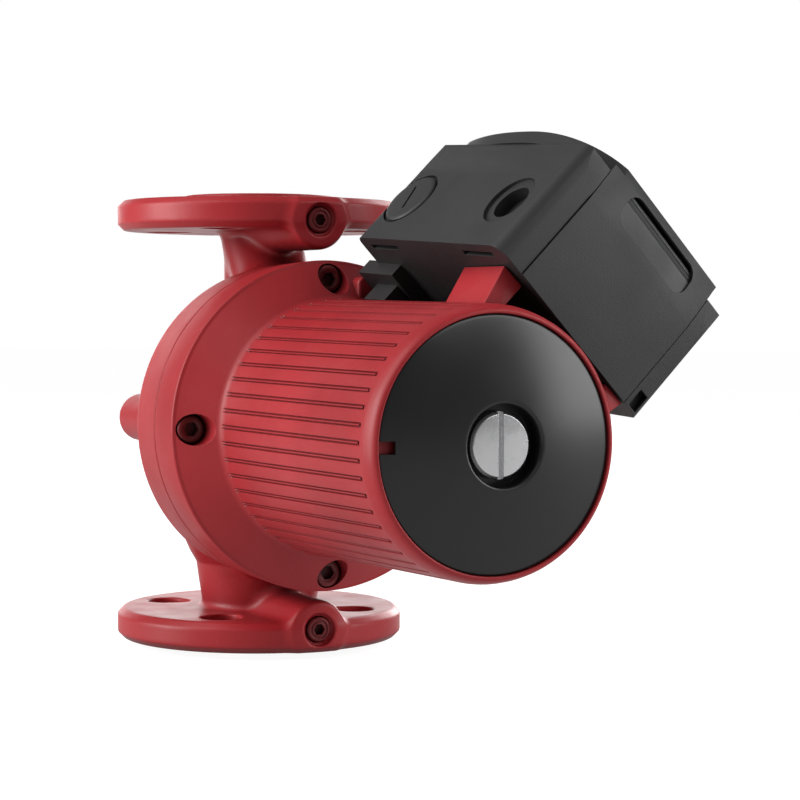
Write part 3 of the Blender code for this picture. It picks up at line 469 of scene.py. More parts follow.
RED = (0.34, 0.016, 0.021)
CAST_RED = paint("cast_red_enamel", RED, True)
BARREL_RED = paint("barrel_red_enamel", RED, False)
BOLT_RED = paint("bolt_red_enamel", (0.15, 0.012, 0.014), False)
BLACK = plastic("black_box_plastic", (0.024, 0.024, 0.0252), 0.5, 1.0)
DISC_BLACK = lacquer("disc_black_lacquer", (0.007, 0.007, 0.0075), 0.3)
WHITE_PLASTIC = plastic("white_terminal_plastic", (0.62, 0.61, 0.57), 0.45, 0.8)
RED_PLASTIC = plastic("red_knob_plastic", (0.4, 0.03, 0.03), 0.35, 0.8)
SCREW_STEEL = metal("nickel_plated_screw", (0.72, 0.72, 0.73), 0.26, (0.15, 1, 1))
STEEL = metal("turned_steel", (0.55, 0.55, 0.57), 0.32)
ALUMINIUM = metal("drawn_aluminium", (0.66, 0.67, 0.68), 0.35)
COPPER = metal("enamelled_copper", (0.55, 0.22, 0.09), 0.32, (1, 1, 12))
CARBON = matt("ground_carbon", (0.05, 0.05, 0.055), 0.45)
RUBBER = matt("black_rubber", (0.018, 0.018, 0.018), 0.62)


# ---- the cast pump housing


def filleted(old, new, radius):
    """The smaller of two distances, with a fillet of about the radius where they meet."""
    mixed = np.maximum(radius - np.abs(old - new), 0) / radius
    return np.minimum(old, new) - mixed * mixed * radius / 4


class Field:
    """Signed distance to a solid, on a grid in millimetres. Shapes are blended into it and cut from it."""

    def __init__(self, low, high, step):
        self.step = step
        self.low = np.array(low, np.float32)
        counts = np.ceil((np.array(high) - self.low) / step).astype(int) + 1
        self.axes = [self.low[i] + step * np.arange(counts[i], dtype=np.float32) for i in range(3)]
        self.value = np.full(counts, 99.0, np.float32)

    def window(self, low, high, reach):
        cuts, grids = [], []
        for i in range(3):
            first = np.searchsorted(self.axes[i], low[i] - reach)
            last = np.searchsorted(self.axes[i], high[i] + reach)
            cuts.append(slice(int(first), int(last)))
            shape = [1, 1, 1]
            shape[i] = -1
            grids.append(self.axes[i][cuts[i]].reshape(shape))
        return tuple(cuts), grids

    def blend(self, shape, low, high, radius):
        """Joins a shape with a fillet of about that radius."""
        cuts, (x, y, z) = self.window(low, high, radius + 4)
        self.value[cuts] = filleted(self.value[cuts], shape(x, y, z), radius)

    def carve(self, shape, low, high, radius=0.8):
        """Cuts a shape away, and breaks the edge by about that radius."""
        cuts, (x, y, z) = self.window(low, high, radius + 2)
        self.value[cuts] = -filleted(-self.value[cuts], shape(x, y, z), radius)

    def surface(self, name):
        """A mesh of the zero surface: one point in each cell it crosses, one face for each crossed edge."""
        v = self.value
        inside = v < 0
        counts = tuple(n - 1 for n in v.shape)
        offsets = [(a, b, c) for a in (0, 1) for b in (0, 1) for c in (0, 1)]
        corner = np.zeros(counts, np.int8)
        for offset in offsets:
            corner += inside[tuple(slice(first, first + n) for first, n in zip(offset, counts))]
        mixed = (corner > 0) & (corner < 8)
        cells = np.argwhere(mixed)
        sums = np.zeros((len(cells), 3), np.float64)
        found = np.zeros(len(cells), np.float64)
        for axis in range(3):
            for start in offsets:
                if start[axis]:
                    continue
                end = list(start)
                end[axis] = 1
                p = v[tuple((cells + start).T)].astype(np.float64)
                q = v[tuple((cells + end).T)].astype(np.float64)
                crossed = (p < 0) != (q < 0)
                share = np.where(crossed, p / np.where(crossed, p - q, 1), 0)
                point = np.array(start, float)[None, :].repeat(len(cells), 0)
                point[:, axis] += share
                sums += point * crossed[:, None]
                found += crossed
        points = (cells + sums / found[:, None]) * self.step + self.low
        number = np.full(counts, -1, np.int64)
        number[mixed] = np.arange(len(cells))
        faces = []
        for axis in range(3):
            other = [i for i in range(3) if i != axis]
            here = [slice(1, -1)] * 3
            there = [slice(1, -1)] * 3
            here[axis], there[axis] = slice(0, -1), slice(1, None)
            a, b = inside[tuple(here)], inside[tuple(there)]
            for flip, edges in ((False, np.argwhere(a & ~b)), (True, np.argwhere(~a & b))):
                base = edges.copy()
                for i in other:
                    base[:, i] += 1
                ring = []
                for s, t in ((0, 0), (1, 0), (1, 1), (0, 1)):
                    cell = base.copy()
                    cell[:, other[0]] -= s
                    cell[:, other[1]] -= t
                    ring.append(number[tuple(cell.T)])
                quad = np.stack(ring, 1)
                if flip != (axis == 1):
                    quad = quad[:, ::-1]
                faces.append(quad)
        faces = np.concatenate(faces)
        mesh = bpy.data.meshes.new(name)
        mesh.from_pydata((points * MM).tolist(), [], faces.tolist())
        mesh.update()
        return placed(name, mesh)


def solid_of(profile):
    """Distance to a turned solid about Z. Its half-profile is closed beyond the axis, which is no wall."""
    closed = [(-20.0, profile[0][1])] + list(profile) + [(-20.0, profile[-1][1])]
    points = np.array(closed, np.float32)

    def shape(x, y, z):
        r = np.sqrt(x * x + y * y)
        r, h = np.broadcast_arrays(r, z)
        best = np.full(r.shape, 1e9, np.float32)
        sign = np.ones(r.shape, bool)
        for (ar, ah), (br, bh) in zip(points, np.roll(points, -1, 0)):
            er, eh = br - ar, bh - ah
            wr, wh = r - ar, h - ah
            t = np.clip((wr * er + wh * eh) / (er * er + eh * eh + 1e-12), 0, 1)
            if ar >= 0 or br >= 0:
                best = np.minimum(best, (wr - er * t) ** 2 + (wh - eh * t) ** 2)
            above = (h >= ah) != (h >= bh)
            with np.errstate(divide="ignore", invalid="ignore"):
                cross = ar + (h - ah) * er / (eh if eh else 1e9)
            sign ^= above & (r < cross)
        return np.where(sign, 1, -1) * np.sqrt(best)

    return shape


def about_motor(shape):
    """A shape made about Z, turned so that its height runs along the motor's axis."""
    return lambda x, y, z: shape(x, z - SHAFT_Z, -y)


def along_y(shape, x0, z0, way=-1):
    return lambda x, y, z: shape(x - x0, z - z0, way * y)


def tube(sections, end_low, end_high):
    """A pipe along Z whose radii and place in Y change with height: rows of (z, rx, ry, y)."""
    rows = np.array(sections, np.float32)

    def shape(x, y, z):
        rx, ry, cy = (np.interp(z, rows[:, 0], rows[:, i]).astype(np.float32) for i in (1, 2, 3))
        around = np.sqrt((x / rx) ** 2 + ((y - cy) / ry) ** 2)
        steep = np.sqrt((x / rx**2) ** 2 + ((y - cy) / ry**2) ** 2) + 1e-6
        side = np.maximum(around * (around - 1) / steep, -np.minimum(rx, ry))
        return np.maximum(side, np.maximum(end_low - z, z - end_high))

    return shape


def slot_shape(angle, low, high):
    """A bolt slot between two heights: along Z it is the hull of a small and a large circle."""
    ax, ay = cos(angle), sin(angle)
    a, b, ra, rb = SMALL_BOLT_CIRCLE_R, LARGE_BOLT_CIRCLE_R, SMALL_BOLT_R, LARGE_BOLT_R

    def shape(x, y, z):
        u, v = x * ax + y * ay, np.abs(-x * ay + y * ax)
        near = np.sqrt((u - a) ** 2 + v * v) - ra
        far = np.sqrt((u - b) ** 2 + v * v) - rb
        tilt = (rb - ra) / (b - a)
        level = sqrt(1 - tilt * tilt)
        along = (u - a) * level + v * tilt
        side = v * level - (u - a) * tilt - ra
        between = (along > 0) & (along < (b - a) * level)
        across = np.minimum(np.minimum(near, far), np.where(between, side, 99))
        return np.maximum(across, np.maximum(low - z, z - high))

    return shape


def flange_profile(upper):
    rim = FLANGE_R - FLANGE_CHAMFER
    profile = [(0, 0), (RAISED_FACE_R, 0), (RAISED_FACE_R, RAISED_FACE), (rim, RAISED_FACE)]
    profile += [(FLANGE_R, RAISED_FACE + FLANGE_CHAMFER), (FLANGE_R, FLANGE_BACK - FLANGE_CHAMFER)]
    profile += [(rim, FLANGE_BACK), (0, FLANGE_BACK)]
    profile = eased(profile, 0.6, 3)
    return [(r, PORT_TO_PORT - h) for r, h in reversed(profile)] if upper else profile


def within_flange(x, y, z, upper):
    """Distance to the flange's outline, its chamfer and the plane behind its raised face."""
    depth = PORT_TO_PORT - z if upper else z
    radius = np.sqrt(x * x + y * y)
    chamfer = (radius - depth - (FLANGE_R - FLANGE_CHAMFER - RAISED_FACE)) / sqrt(2)
    return np.maximum(np.maximum(radius - FLANGE_R - 0.5, chamfer - 0.1), RAISED_FACE + 1 - depth)


def around_raised_face(x, y, depth):
    return np.maximum(depth - RAISED_FACE, RAISED_FACE_R - np.sqrt(x * x + y * y))


def housing_field(step):
    """The casting's outside: the volute and its ring, the two necks, the flanges and the bosses."""
    field = Field(FIELD_LOW, FIELD_HIGH, step)
    front = RING_FRONT - 0.1
    body = [(0, front), (RING_R, front), (RING_BACK_R, RING_BACK + 2), (RING_BACK_R - 2, RING_BACK)]
    body += [(67, 24.5), (62, 14), (54, -3), (43, -17), (28, -26.5), (10, -30), (0, -30)]
    field.blend(about_motor(solid_of(body)), (-78, -55, 30), (78, 32, 190), 1)
    upper_rear = [(150, 17.7, 17.7, 0), (208, 17.7, 17.7, 0)]
    upper_front = [(150, 23, 22, -32), (160, 21, 21, -26), (181, 19.5, 19.5, -13)]
    upper_front += [(200, 19.9, 19.9, -1), (208, 20.5, 20.5, 0)]
    lower = [(12, 28, 28, 0), (20, 28.4, 28.4, 0), (33, 31, 29, -1), (40, 32.5, 29, -2), (46, 37, 29, -4)]
    lower += [(54, 42, 28, -7), (66, 46, 26, -11), (80, 46, 22, -16)]
    neck = Field(FIELD_LOW, FIELD_HIGH, step)
    neck.blend(tube(upper_rear, 150, 208), (-20, -20, 150), (20, 20, 208), 1)
    neck.blend(tube(upper_front, 150, 208), (-24, -56, 150), (24, 22, 208), 3)
    neck.blend(tube(lower, 12, 80), (-48, -50, 12), (48, 32, 80), 1)
    field.value = filleted(field.value, neck.value, NECK_BLEND)
    for upper in (False, True):
        low = PORT_TO_PORT - FLANGE_BACK if upper else 0
        field.blend(solid_of(flange_profile(upper)), (-70, -70, low), (70, 70, low + FLANGE_BACK), 4)
    for upper in (False, True):
        z0 = PORT_TO_PORT - GAUGE_Z if upper else GAUGE_Z
        boss = eased([(0, 12), (GAUGE_BOSS_R, 12), (GAUGE_BOSS_R, GAUGE_FRONT), (0, GAUGE_FRONT)], 4.0, 6)
        round_boss = along_y(solid_of(boss), 0, z0)
        field.blend(
            lambda x, y, z, s=round_boss, up=upper: np.maximum(s(x, y, z), within_flange(x, y, z, up)),
            (-15, -71, z0 - 15), (15, -12, z0 + 15), 5,
        )
    for side in (-1, 1):
        back, end = REAR_BOSS_BACK, REAR_BOSS_END
        boss = [(0, back), (REAR_BOSS_R, back), (REAR_BOSS_R, end - 1.6), (REAR_BOSS_R - 1.6, end), (0, end)]
        x0 = side * REAR_BOSS_X
        low, high = (x0 - 12, back, SHAFT_Z - 12), (x0 + 12, end, SHAFT_Z + 12)
        field.blend(along_y(solid_of(boss), x0, SHAFT_Z, 1), low, high, 6)
    return field


def trim_housing(field):
    """The machined faces, bores and holes."""
    high = PORT_TO_PORT
    low_end, high_end = (FIELD_LOW, (*FIELD_HIGH[:2], 4)), ((*FIELD_LOW[:2], high - 4), FIELD_HIGH)
    field.carve(lambda x, y, z: around_raised_face(x, y, z), *low_end, 0.5)
    field.carve(lambda x, y, z: around_raised_face(x, y, high - z), *high_end, 0.5)
    field.carve(lambda x, y, z: z + 0 * x + 0 * y, *low_end, 0.3)
    field.carve(lambda x, y, z: high - z + 0 * x + 0 * y, *high_end, 0.3)
    mouth = SPIGOT_R + SPIGOT_CHAMFER
    chamber = [(0, 4), (NECK_BORE_R, 4), (NECK_BORE_R, 27), (CHAMBER_R, 27), (CHAMBER_R, 48.5)]
    chamber += [(SPIGOT_R, 48.5), (SPIGOT_R, 50.5), (mouth, RING_FRONT), (mouth, RING_FRONT + 4)]
    chamber.append((0, RING_FRONT + 4))
    field.carve(about_motor(solid_of(chamber)), (-65, -58, 45), (65, 0, 175), 0.5)
    suction = [(-4, PORT_R, PORT_R, 0), (40, 17, 17, 0), (52, 17, 16, -2), (66, 17, 15, -3.5)]
    suction += [(80, 19, 18, -2), (118, 19, 19, 0), (130, 14, 14, 0)]
    field.carve(tube(suction, -5, 130), (-22, -22, -5), (22, 22, 130), 1.0)
    outlet = [(148, 15, 14, -38), (160, 14.5, 14.5, -26), (181, 14.5, 14.5, -13), (202, PORT_R, PORT_R, 0)]
    outlet += [(high + 4, PORT_R, PORT_R, 0)]
    field.carve(tube(outlet, 148, high + 5), (-20, -54, 148), (20, 20, high + 5), 1.0)
    for upper in (False, True):
        low = high - FLANGE_BACK - 1.5 if upper else -5
        for quarter in range(4):
            angle = pi / 4 + quarter * pi / 2
            x0, y0 = LARGE_BOLT_CIRCLE_R * cos(angle), LARGE_BOLT_CIRCLE_R * sin(angle)
            around = (x0 - 14, y0 - 14, low), (x0 + 14, y0 + 14, low + 24)
            field.carve(slot_shape(angle, low, low + 24), *around, 0.4)
        z0 = high - GAUGE_Z if upper else GAUGE_Z
        hole = [(0, 8), (2.5, 8), (2.5, 56), (6.2, 56), (6.2, GAUGE_FRONT - 2)]
        hole += [(GAUGE_SINK_R, GAUGE_FRONT - 2), (GAUGE_SINK_R + 0.8, GAUGE_FRONT + 3), (0, GAUGE_FRONT + 3)]
        field.carve(along_y(solid_of(hole), 0, z0), (-9, -74, z0 - 9), (9, -8, z0 + 9), 0.4)
    for side in (-1, 1):
        x0, low, end = side * REAR_BOSS_X, REAR_BOSS_END - REAR_BOLT_DEPTH, REAR_BOSS_END + 4
        hole = solid_of([(0, low), (REAR_BOLT_R, low), (REAR_BOLT_R, end), (0, end)])
        around = (x0 - 6, low - 1, SHAFT_Z - 6), (x0 + 6, end, SHAFT_Z + 6)
        field.carve(along_y(hole, x0, SHAFT_Z, 1), *around, 0.6)
    for i in range(4):
        angle = i * pi / 2
        x0, z0 = BOLT_CIRCLE_R * cos(angle), SHAFT_Z + BOLT_CIRCLE_R * sin(angle)
        radius, low, end = BOLT_SHANK_R + GAP + 0.3, BOLT_HOLE_END, 58
        hole = solid_of([(0, low), (radius, low), (radius, end), (0, end)])
        field.carve(along_y(hole, x0, z0), (x0 - 5, -end, z0 - 5), (x0 + 5, 1 - low, z0 + 5), 0.3)


def make_pump_housing():
    field = housing_field(FIELD_STEP)
    trim_housing(field)
    made = field.surface("cast_pump_housing")
    dress(made, "pump_housing", CAST_RED, None)
    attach(made, BODY_OF["pump_housing"])
    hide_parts("pump_housing")


# ---- motor


def barrel_radius(height):
    """The barrel tapers a little towards its front."""
    t = (height - BARREL_ROOT) / (BARREL_FRONT - BARREL_ROOT)
    return BARREL_ROOT_R + (BARREL_FRONT_R - BARREL_ROOT_R) * t


def bolt_frames():
    """Each motor bolt's name and place, with Z along the motor's axis."""
    for i, name in enumerate(("right", "top", "left", "bottom")):
        angle = i * pi / 2
        yield name, MOTOR_FRAME @ at(BOLT_CIRCLE_R * cos(angle), BOLT_CIRCLE_R * sin(angle), 0)


def groove(aside, height):
    """Depth of a lengthwise groove: two slits with a bead between them, and a drilled front end."""
    beyond = max(0.0, GROOVE_START - height, height - GROOVE_END)
    slit = hypot(aside - SLIT_AT, beyond) / SLIT_HALF
    depth = SLIT_DEPTH * (1 - slit**2) ** 0.5 if slit < 1 else 0.0
    if aside < SLIT_AT and not beyond:
        depth = max(depth, BEAD_DROP)
    drill = hypot(aside, height - GROOVE_END) / DRILL_R
    if drill < 1:
        depth = max(depth, DRILL_DEPTH * (1 - drill**6))
    return depth


def stave(aside, half_pitch, height):
    """How far the barrel's surface falls away towards a groove, between the grooves' ends."""
    fade = min(1.0, max(0.0, (height - GROOVE_START + 3) / 8), max(0.0, (GROOVE_END + 2 - height) / 4))
    return STAVE_FALL * fade * (1 - aside / half_pitch) ** 4


def motor_outer():
    """The casting's outside from the spigot to the inner edge of the front rim."""
    outer = [(SPIGOT_R - GAP, MOTOR_BACK - 1.1), (SPIGOT_R - GAP, MOTOR_BACK + 0.2)]
    outer += [(RING_R - 0.3, MOTOR_BACK + 0.2), (RING_R, MOTOR_BACK + 0.5)]
    outer += [(MOTOR_FLANGE_R, FLANGE_FRONT - 1.2), (MOTOR_FLANGE_R - 0.15, FLANGE_FRONT - 0.6)]
    outer += [(MOTOR_FLANGE_R - 0.6, FLANGE_FRONT - 0.15), (MOTOR_FLANGE_R - 1.2, FLANGE_FRONT)]
    outer += FLARE
    heights = [95.2, 96.2] + [98 + 3.4 * i for i in range(37)] + [224.0 + 0.4 * i for i in range(15)]
    outer += [(barrel_radius(height), height) for height in heights]
    rim = [(barrel_radius(230.4), 230.4), (57.25, 231.6), (57.0, 232.8), (56.75, 234.2), (56.3, 235.8)]
    rim += [(55.7, 237.2), (55.0, 238.1), (54.4, 238.5), (53.9, RIM_FRONT), (53.5, 238.4)]
    return outer + rim + [(DISC_R + GAP, 238.0), (DISC_R + GAP, DISC_BACK - GAP)]


def motor_mesh():
    """The motor casting as a fine grid about its axis, with the grooves pressed into the barrel."""
    collar_clear = DISC_HOLE_R + COLLAR_WALL + GAP
    profile = motor_outer() + [(collar_clear, DISC_BACK - GAP), (collar_clear, VENT_SEAT)]
    profile += [(VENT_SHANK_R + GAP, VENT_SEAT), (VENT_SHANK_R + GAP, CAVITY_END)]
    profile += [(STATOR_BORE_R, CAVITY_END), (STATOR_BORE_R, MOTOR_BACK - 1.1)]
    half_pitch = pi / GROOVES
    half = GROOVE_MARKS[-1] / BARREL_FRONT_R
    offsets = [-mark / BARREL_FRONT_R for mark in GROOVE_MARKS[::-1]]
    offsets += [mark / BARREL_FRONT_R for mark in GROOVE_MARKS]
    offsets += [half + (2 * half_pitch - 2 * half) * t for t in STAVE_MARKS]
    bm = bmesh.new()
    grid = []
    for i in range(GROOVES):
        for offset in offsets:
            angle = 2 * half_pitch * i + offset + GROOVE_TURN
            aside = min(abs(offset), 2 * half_pitch - offset)
            column = []
            for radius, height in profile:
                cut = 0.0
                if radius > BARREL_FRONT_R - 1 and GROOVE_START - 4 < height < GROOVE_END + 3:
                    cut = groove(aside * radius, height) + stave(aside, half_pitch, height)
                place = ((radius - cut) * cos(angle), (radius - cut) * sin(angle), height)
                column.append(bm.verts.new(Vector(place) * MM))
            grid.append(column)
    for a, b in zip(grid, grid[1:] + grid[:1]):
        for j in range(len(profile)):
            k = (j + 1) % len(profile)
            bm.faces.new((a[j], b[j], b[k], a[k]))
    bmesh.ops.recalc_face_normals(bm, faces=bm.faces)
    return bm


def bevelled(shape, size, count):
    bmesh.ops.bevel(
        shape, geom=shape.edges[:], offset=size * MM, segments=count, affect="EDGES", profile=0.5
    )
    return shape


def lug(side):
    """A lug that carries a front corner of the terminal box."""
    low = LUG_BOTTOM
    lean = (LUG_TOP - low) * tan(LUG_LEAN)
    outline = [(LUG_INNER, low), (LUG_OUTER - lean, low), (LUG_OUTER, LUG_TOP), (LUG_INNER, LUG_TOP)]
    outline = [(side * across, out) for across, out in outline]
    return close(bevelled(prism(outline, LUG_BACK, LUG_FRONT), 0.6, 2), TO_MOTOR @ SQUARE_BOX_FRAME @ UPRIGHT)


def foot_pad():
    """The pad on the flange's face, beside the top bolt."""
    outline = [(9.5, 50), (26, 50), (26, 66), (20, 69.5), (11.5, 69.5), (9.5, 67.5)]
    return bevelled(prism(outline, PAD_BACK, PAD_FRONT), 1.2, 3)


def lug_screw_places():
    """Where the two box screws go through the box's floor, in the box's own frame."""
    along, across = LUG_SCREW_AT
    for side in (-1, 1):
        place = BOX_FRAME.inverted() @ SQUARE_BOX_FRAME @ Vector((along * MM, side * across * MM, 0))
        yield place.x / MM, place.y / MM


def make_motor():
    box_in_motor = TO_MOTOR @ BOX_FRAME
    wire_place = box_in_motor @ at(*WIRE_HOLE, 0)
    add = [lug(-1), lug(1), foot_pad(), cylinder(WIRE_NECK_R, 40, LUG_TOP, 48, wire_place)]
    cut = []
    for _, place in bolt_frames():
        sizes = [(BOLT_SHANK_R + GAP, COUNTERBORE_FLOOR), (COUNTERBORE_R, 108)]
        cut.append(stepped(sizes, MOTOR_BACK - 3, 64, TO_MOTOR @ place))
    cut.append(cylinder(WIRE_BORE_R, 40, LUG_TOP + 1, 48, wire_place))
    for x, y in lug_screw_places():
        cut.append(cylinder(LUG_SCREW_R, LUG_TOP - 9, LUG_TOP + 1, 24, box_in_motor @ at(x, y, 0)))
    piece("motor_casting", "motor_housing", BARREL_RED, motor_mesh(), add, cut, MOTOR_FRAME, smooth=40)


def make_bolts():
    for name, place in bolt_frames():
        seat, front = COUNTERBORE_FLOOR + GAP, BOLT_HEAD_FRONT
        profile = [(0, BOLT_TIP), (BOLT_SHANK_R, BOLT_TIP), (BOLT_SHANK_R, seat), (BOLT_HEAD_R, seat)]
        profile += [(BOLT_HEAD_R, front - 0.7), (BOLT_HEAD_R - 0.7, front), (4.3, front), (3.9, front - 0.4)]
        profile += [(0, front - 0.4)]
        head = turned(eased(profile, 0.5, 2), 64)
        socket = prism(hexagon(BOLT_HEX), front - BOLT_SOCKET_DEPTH, front + 1)
        node = "motor_bolt_" + name
        piece(node + "_head", node, BOLT_RED, head, cut=[socket], place=place, smooth=30)


def make_gauge_plugs():
    front = GAUGE_FRONT - 0.6
    profile = [(0, GAUGE_PLUG_BACK), (GAUGE_PLUG_R, GAUGE_PLUG_BACK), (GAUGE_PLUG_R, front - 0.7)]
    profile += [(GAUGE_PLUG_R - 0.7, front), (4.6, front), (4.3, front - 0.5), (3.6, front - 0.5)]
    profile += [(3.3, front), (0, front)]
    for end, z in (("lower", GAUGE_Z), ("upper", PORT_TO_PORT - GAUGE_Z)):
        node, place = "gauge_plug_" + end, at(0, 0, z, ALONG_Y)
        socket = prism(hexagon(GAUGE_HEX), front - GAUGE_SOCKET_DEPTH, front + 1)
        piece(node + "_head", node, BOLT_RED, turned(profile, 64), cut=[socket], place=place, smooth=30)


def crown(radius):
    """Height of the domed disc's outside at a radius."""
    return DISC_FRONT + (DISC_R**2 - radius**2) / (2 * DISC_CROWN_R)


def make_front():
    collar_r, seat = DISC_HOLE_R + COLLAR_WALL, VENT_SEAT + GAP
    radii = [19 + (DISC_R - 1.4 - 19) * i / 24 for i in range(25)]
    disc = [(13.2, seat), (collar_r, seat), (collar_r, crown(collar_r) - DISC_WALL)]
    disc += [(radius, crown(radius) - DISC_WALL) for radius in radii[1:-1]]
    disc += [(DISC_R - 1.4, DISC_BACK), (DISC_R, DISC_BACK), (DISC_R, DISC_FRONT - 0.4)]
    disc += [(DISC_R - 0.12, DISC_FRONT - 0.1), (DISC_R - 0.45, DISC_FRONT + 0.12)]
    disc += [(radius, crown(radius)) for radius in reversed(radii)]
    disc += [(18.1, crown(18.1)), (17.65, crown(17.65) - 0.12), (17.35, crown(17.35) - 0.4)]
    disc += [(DISC_HOLE_R, crown(DISC_HOLE_R) - 0.8), (DISC_HOLE_R, seat + COLLAR_WALL)]
    disc.append((13.2, seat + COLLAR_WALL))
    disc = turned(disc, 256)
    corner = (-DISC_R - 1, -NOTCH_HALF, DISC_BACK - 2)
    notch = block(corner, (-DISC_R + NOTCH_REACH, NOTCH_HALF, DISC_FRONT + 4))
    piece("front_disc", "nameplate_disc", DISC_BLACK, disc, cut=[notch], place=MOTOR_FRAME, smooth=40)
    front = VENT_HEAD_FRONT
    screw = [(0, VENT_TIP), (VENT_SHANK_R, VENT_TIP), (VENT_SHANK_R, VENT_HEAD_BACK)]
    screw += [(VENT_HEAD_R, VENT_HEAD_BACK), (VENT_HEAD_R, front - 1.2)]
    screw += [(VENT_HEAD_R - 1.2, front), (0, front)]
    head = turned(eased(screw, 0.5, 3), 128)
    corner = (-VENT_SLOT_HALF, -VENT_HEAD_R - 1, front - VENT_SLOT_DEPTH)
    slot = block(corner, (VENT_SLOT_HALF, VENT_HEAD_R + 1, front + 1))
    piece("vent_screw_head", "vent_screw", SCREW_STEEL, head, cut=[slot], place=MOTOR_FRAME, smooth=30)
    ring = arc(SEAL_R, (VENT_SEAT + VENT_HEAD_BACK) / 2, SEAL_THICK, 0, 348.75, 31)
    piece("vent_seal_ring", "vent_o_ring", RUBBER, turned(ring, 96), place=MOTOR_FRAME)


# ---- terminal box


def wall_frame(entry):
    """A cable entry's place on the box's side, with Z out of the wall."""
    x, z = entry
    return at(x, BOX_ENTRY_SIDE, z, ALONG_Y)


def raked_front(low_y, high_y, top):
    """What the front's backward lean cuts from the box."""
    lean, beyond = (top - RAKE_START) * tan(RAKE), BOX_FRONT + 9
    outline = [(BOX_FRONT, RAKE_START), (BOX_FRONT - lean, top), (beyond, top), (beyond, RAKE_START)]
    return prism(outline, -high_y, -low_y, ALONG_Y)


def leaning_strip():
    """What the inward lean of the entry side's upper strip cuts from the box."""
    top = BOX_RIM + 4
    lean = (top - STRIP_START) * tan(STRIP_LEAN)
    side = BOX_ENTRY_SIDE
    outline = [(side, STRIP_START), (side + lean, top), (side - 9, top), (side - 9, STRIP_START)]
    fall = Matrix.Rotation(STRIP_FALL, 4, "Y")
    return prism(outline, BOX_BACK - 3, BOX_FRONT + 5, fall @ UPRIGHT)


def lid_outline(inset=0.0):
    """The lid seen from outside: three straight sides and a side that bulges over the entries."""
    back, front = BOX_BACK + inset, BOX_FRONT - inset
    far, bulge = COVER_RIGHT - inset, -60.4 + inset
    apex_x, corner_y = 57.0, -24.0
    power = 2.2
    points = arc(front - 3, far - 3, 3, 0, 90, 6) + arc(back + 3, far - 3, 3, 90, 180, 6)
    points += arc(back + 8, -45.0, 8, 180, 230, 8)
    rear_reach, front_reach = 95.0, front - apex_x
    count = 36
    for i in range(count):
        x = back + 8 + (apex_x - back - 8) * i / (count - 1)
        t = (apex_x - x) / rear_reach
        points.append((x, corner_y + (bulge - corner_y) * (1 - t**power) ** (1 / power)))
    count = 40
    for i in range(1, count + 1):
        angle = pi / 2 * i / count
        t, s = sin(angle) ** (2 / power), cos(angle) ** (2 / power)
        points.append((apex_x + front_reach * t, corner_y + (bulge - corner_y) * s))
    return points


def box_shell():
    """The box's walls and floor, with the saddle foot under it."""
    back, front, near, far = BOX_BACK, BOX_FRONT - CORNER_STEP, BOX_ENTRY_SIDE, BOX_FAR_SIDE
    outline = arc(BOX_FRONT - 3, far - 3, 3, 0, 90, 8) + arc(back + 4, far - 4, 4, 90, 180, 8)
    outline += arc(back + 4, near + 4, 4, 180, 270, 8) + arc(front - 8, near + 8, 8, 270, 360, 16)
    wall = BOX_WALL
    inner_front = BOX_FRONT - 2 * BOX_WALL - GAP
    inside = rounded_box(back + wall, near + wall, inner_front, far - wall, 3)
    hollow = prism(inside, BOX_FLOOR + wall, BOX_RIM - wall)
    mouth = prism(lid_outline(7.0), BOX_RIM - wall - 1, BOX_RIM + 1)
    saddle = [block((-9, -37, 44), (9, -13, 61)), block((-18, -44, 56), (12.5, -10.5, BOX_FLOOR + 1.5))]
    return joined(prism(outline, BOX_FLOOR, BOX_RIM), add=saddle, cut=(hollow, mouth))


def barrel_clearance():
    """The barrel with a little air around it, in the box's own frame."""
    grown = [(radius + 0.6, height) for radius, height in FLARE_TO_BARREL]
    outside = [(0, grown[0][1])] + grown + [(barrel_radius(150) + 0.6, 150), (0, 150)]
    return turned(outside, 128, BOX_FRAME.inverted() @ MOTOR_FRAME)


def make_box_base():
    front, near, far = BOX_FRONT, BOX_ENTRY_SIDE, BOX_FAR_SIDE
    recess_back = front - BOX_WALL - GAP
    recess_end = (front + 1, COVER_RIGHT + GAP, BOX_RIM + 1)
    recess = block((recess_back, COVER_LEFT - GAP, BOX_FLOOR - 1), recess_end)
    cut = [raked_front(near - 1, far + 1, BOX_RIM + 1), leaning_strip(), recess, barrel_clearance()]
    cut.append(stepped([(PLUG_SHANK_R + GAP, -1.5), (PLUG_SINK_R, 2)], -12, 96, wall_frame(PLUG_ENTRY)))
    cut.append(stepped([(OPEN_HOLE_R, -1.6), (OPEN_SINK_R, 2)], -7.5, 96, wall_frame(OPEN_ENTRY)))
    cut.append(cylinder(WIRE_HOLE_R, BOX_FLOOR - 1, BOX_FLOOR + 4, 48, at(*WIRE_HOLE, 0)))
    for x, y in lug_screw_places():
        cut.append(cylinder(2.5, BOX_FLOOR - 1, BOX_FLOOR + 4, 24, at(x, y, 0)))
    for x, y in COVER_SCREWS:
        cut.append(cylinder(1.9, BOX_RIM - 12, BOX_RIM + 1, 24, at(x, y, 0)))
    for x in (0, 78):
        cut.append(block((x, -56.2, BOX_FLOOR - 1), (x + 23, -53.8, BOX_FLOOR + 4)))
    cut.append(block((front - 4, far - 7.5, BOX_FLOOR + 1), (front + 1, far - 2.5, BOX_FLOOR + 10)))
    add = [cylinder(OPEN_HOLE_R + 2.5, -9.5, -2, 64, wall_frame(OPEN_ENTRY))]
    add += [cylinder(COVER_POST_R, BOX_FLOOR + 2, BOX_RIM, 32, at(x, y, 0)) for x, y in COVER_SCREWS]
    piece("box_base", "terminal_box_base", BLACK, box_shell(), add, cut, BOX_FRAME, smooth=30)


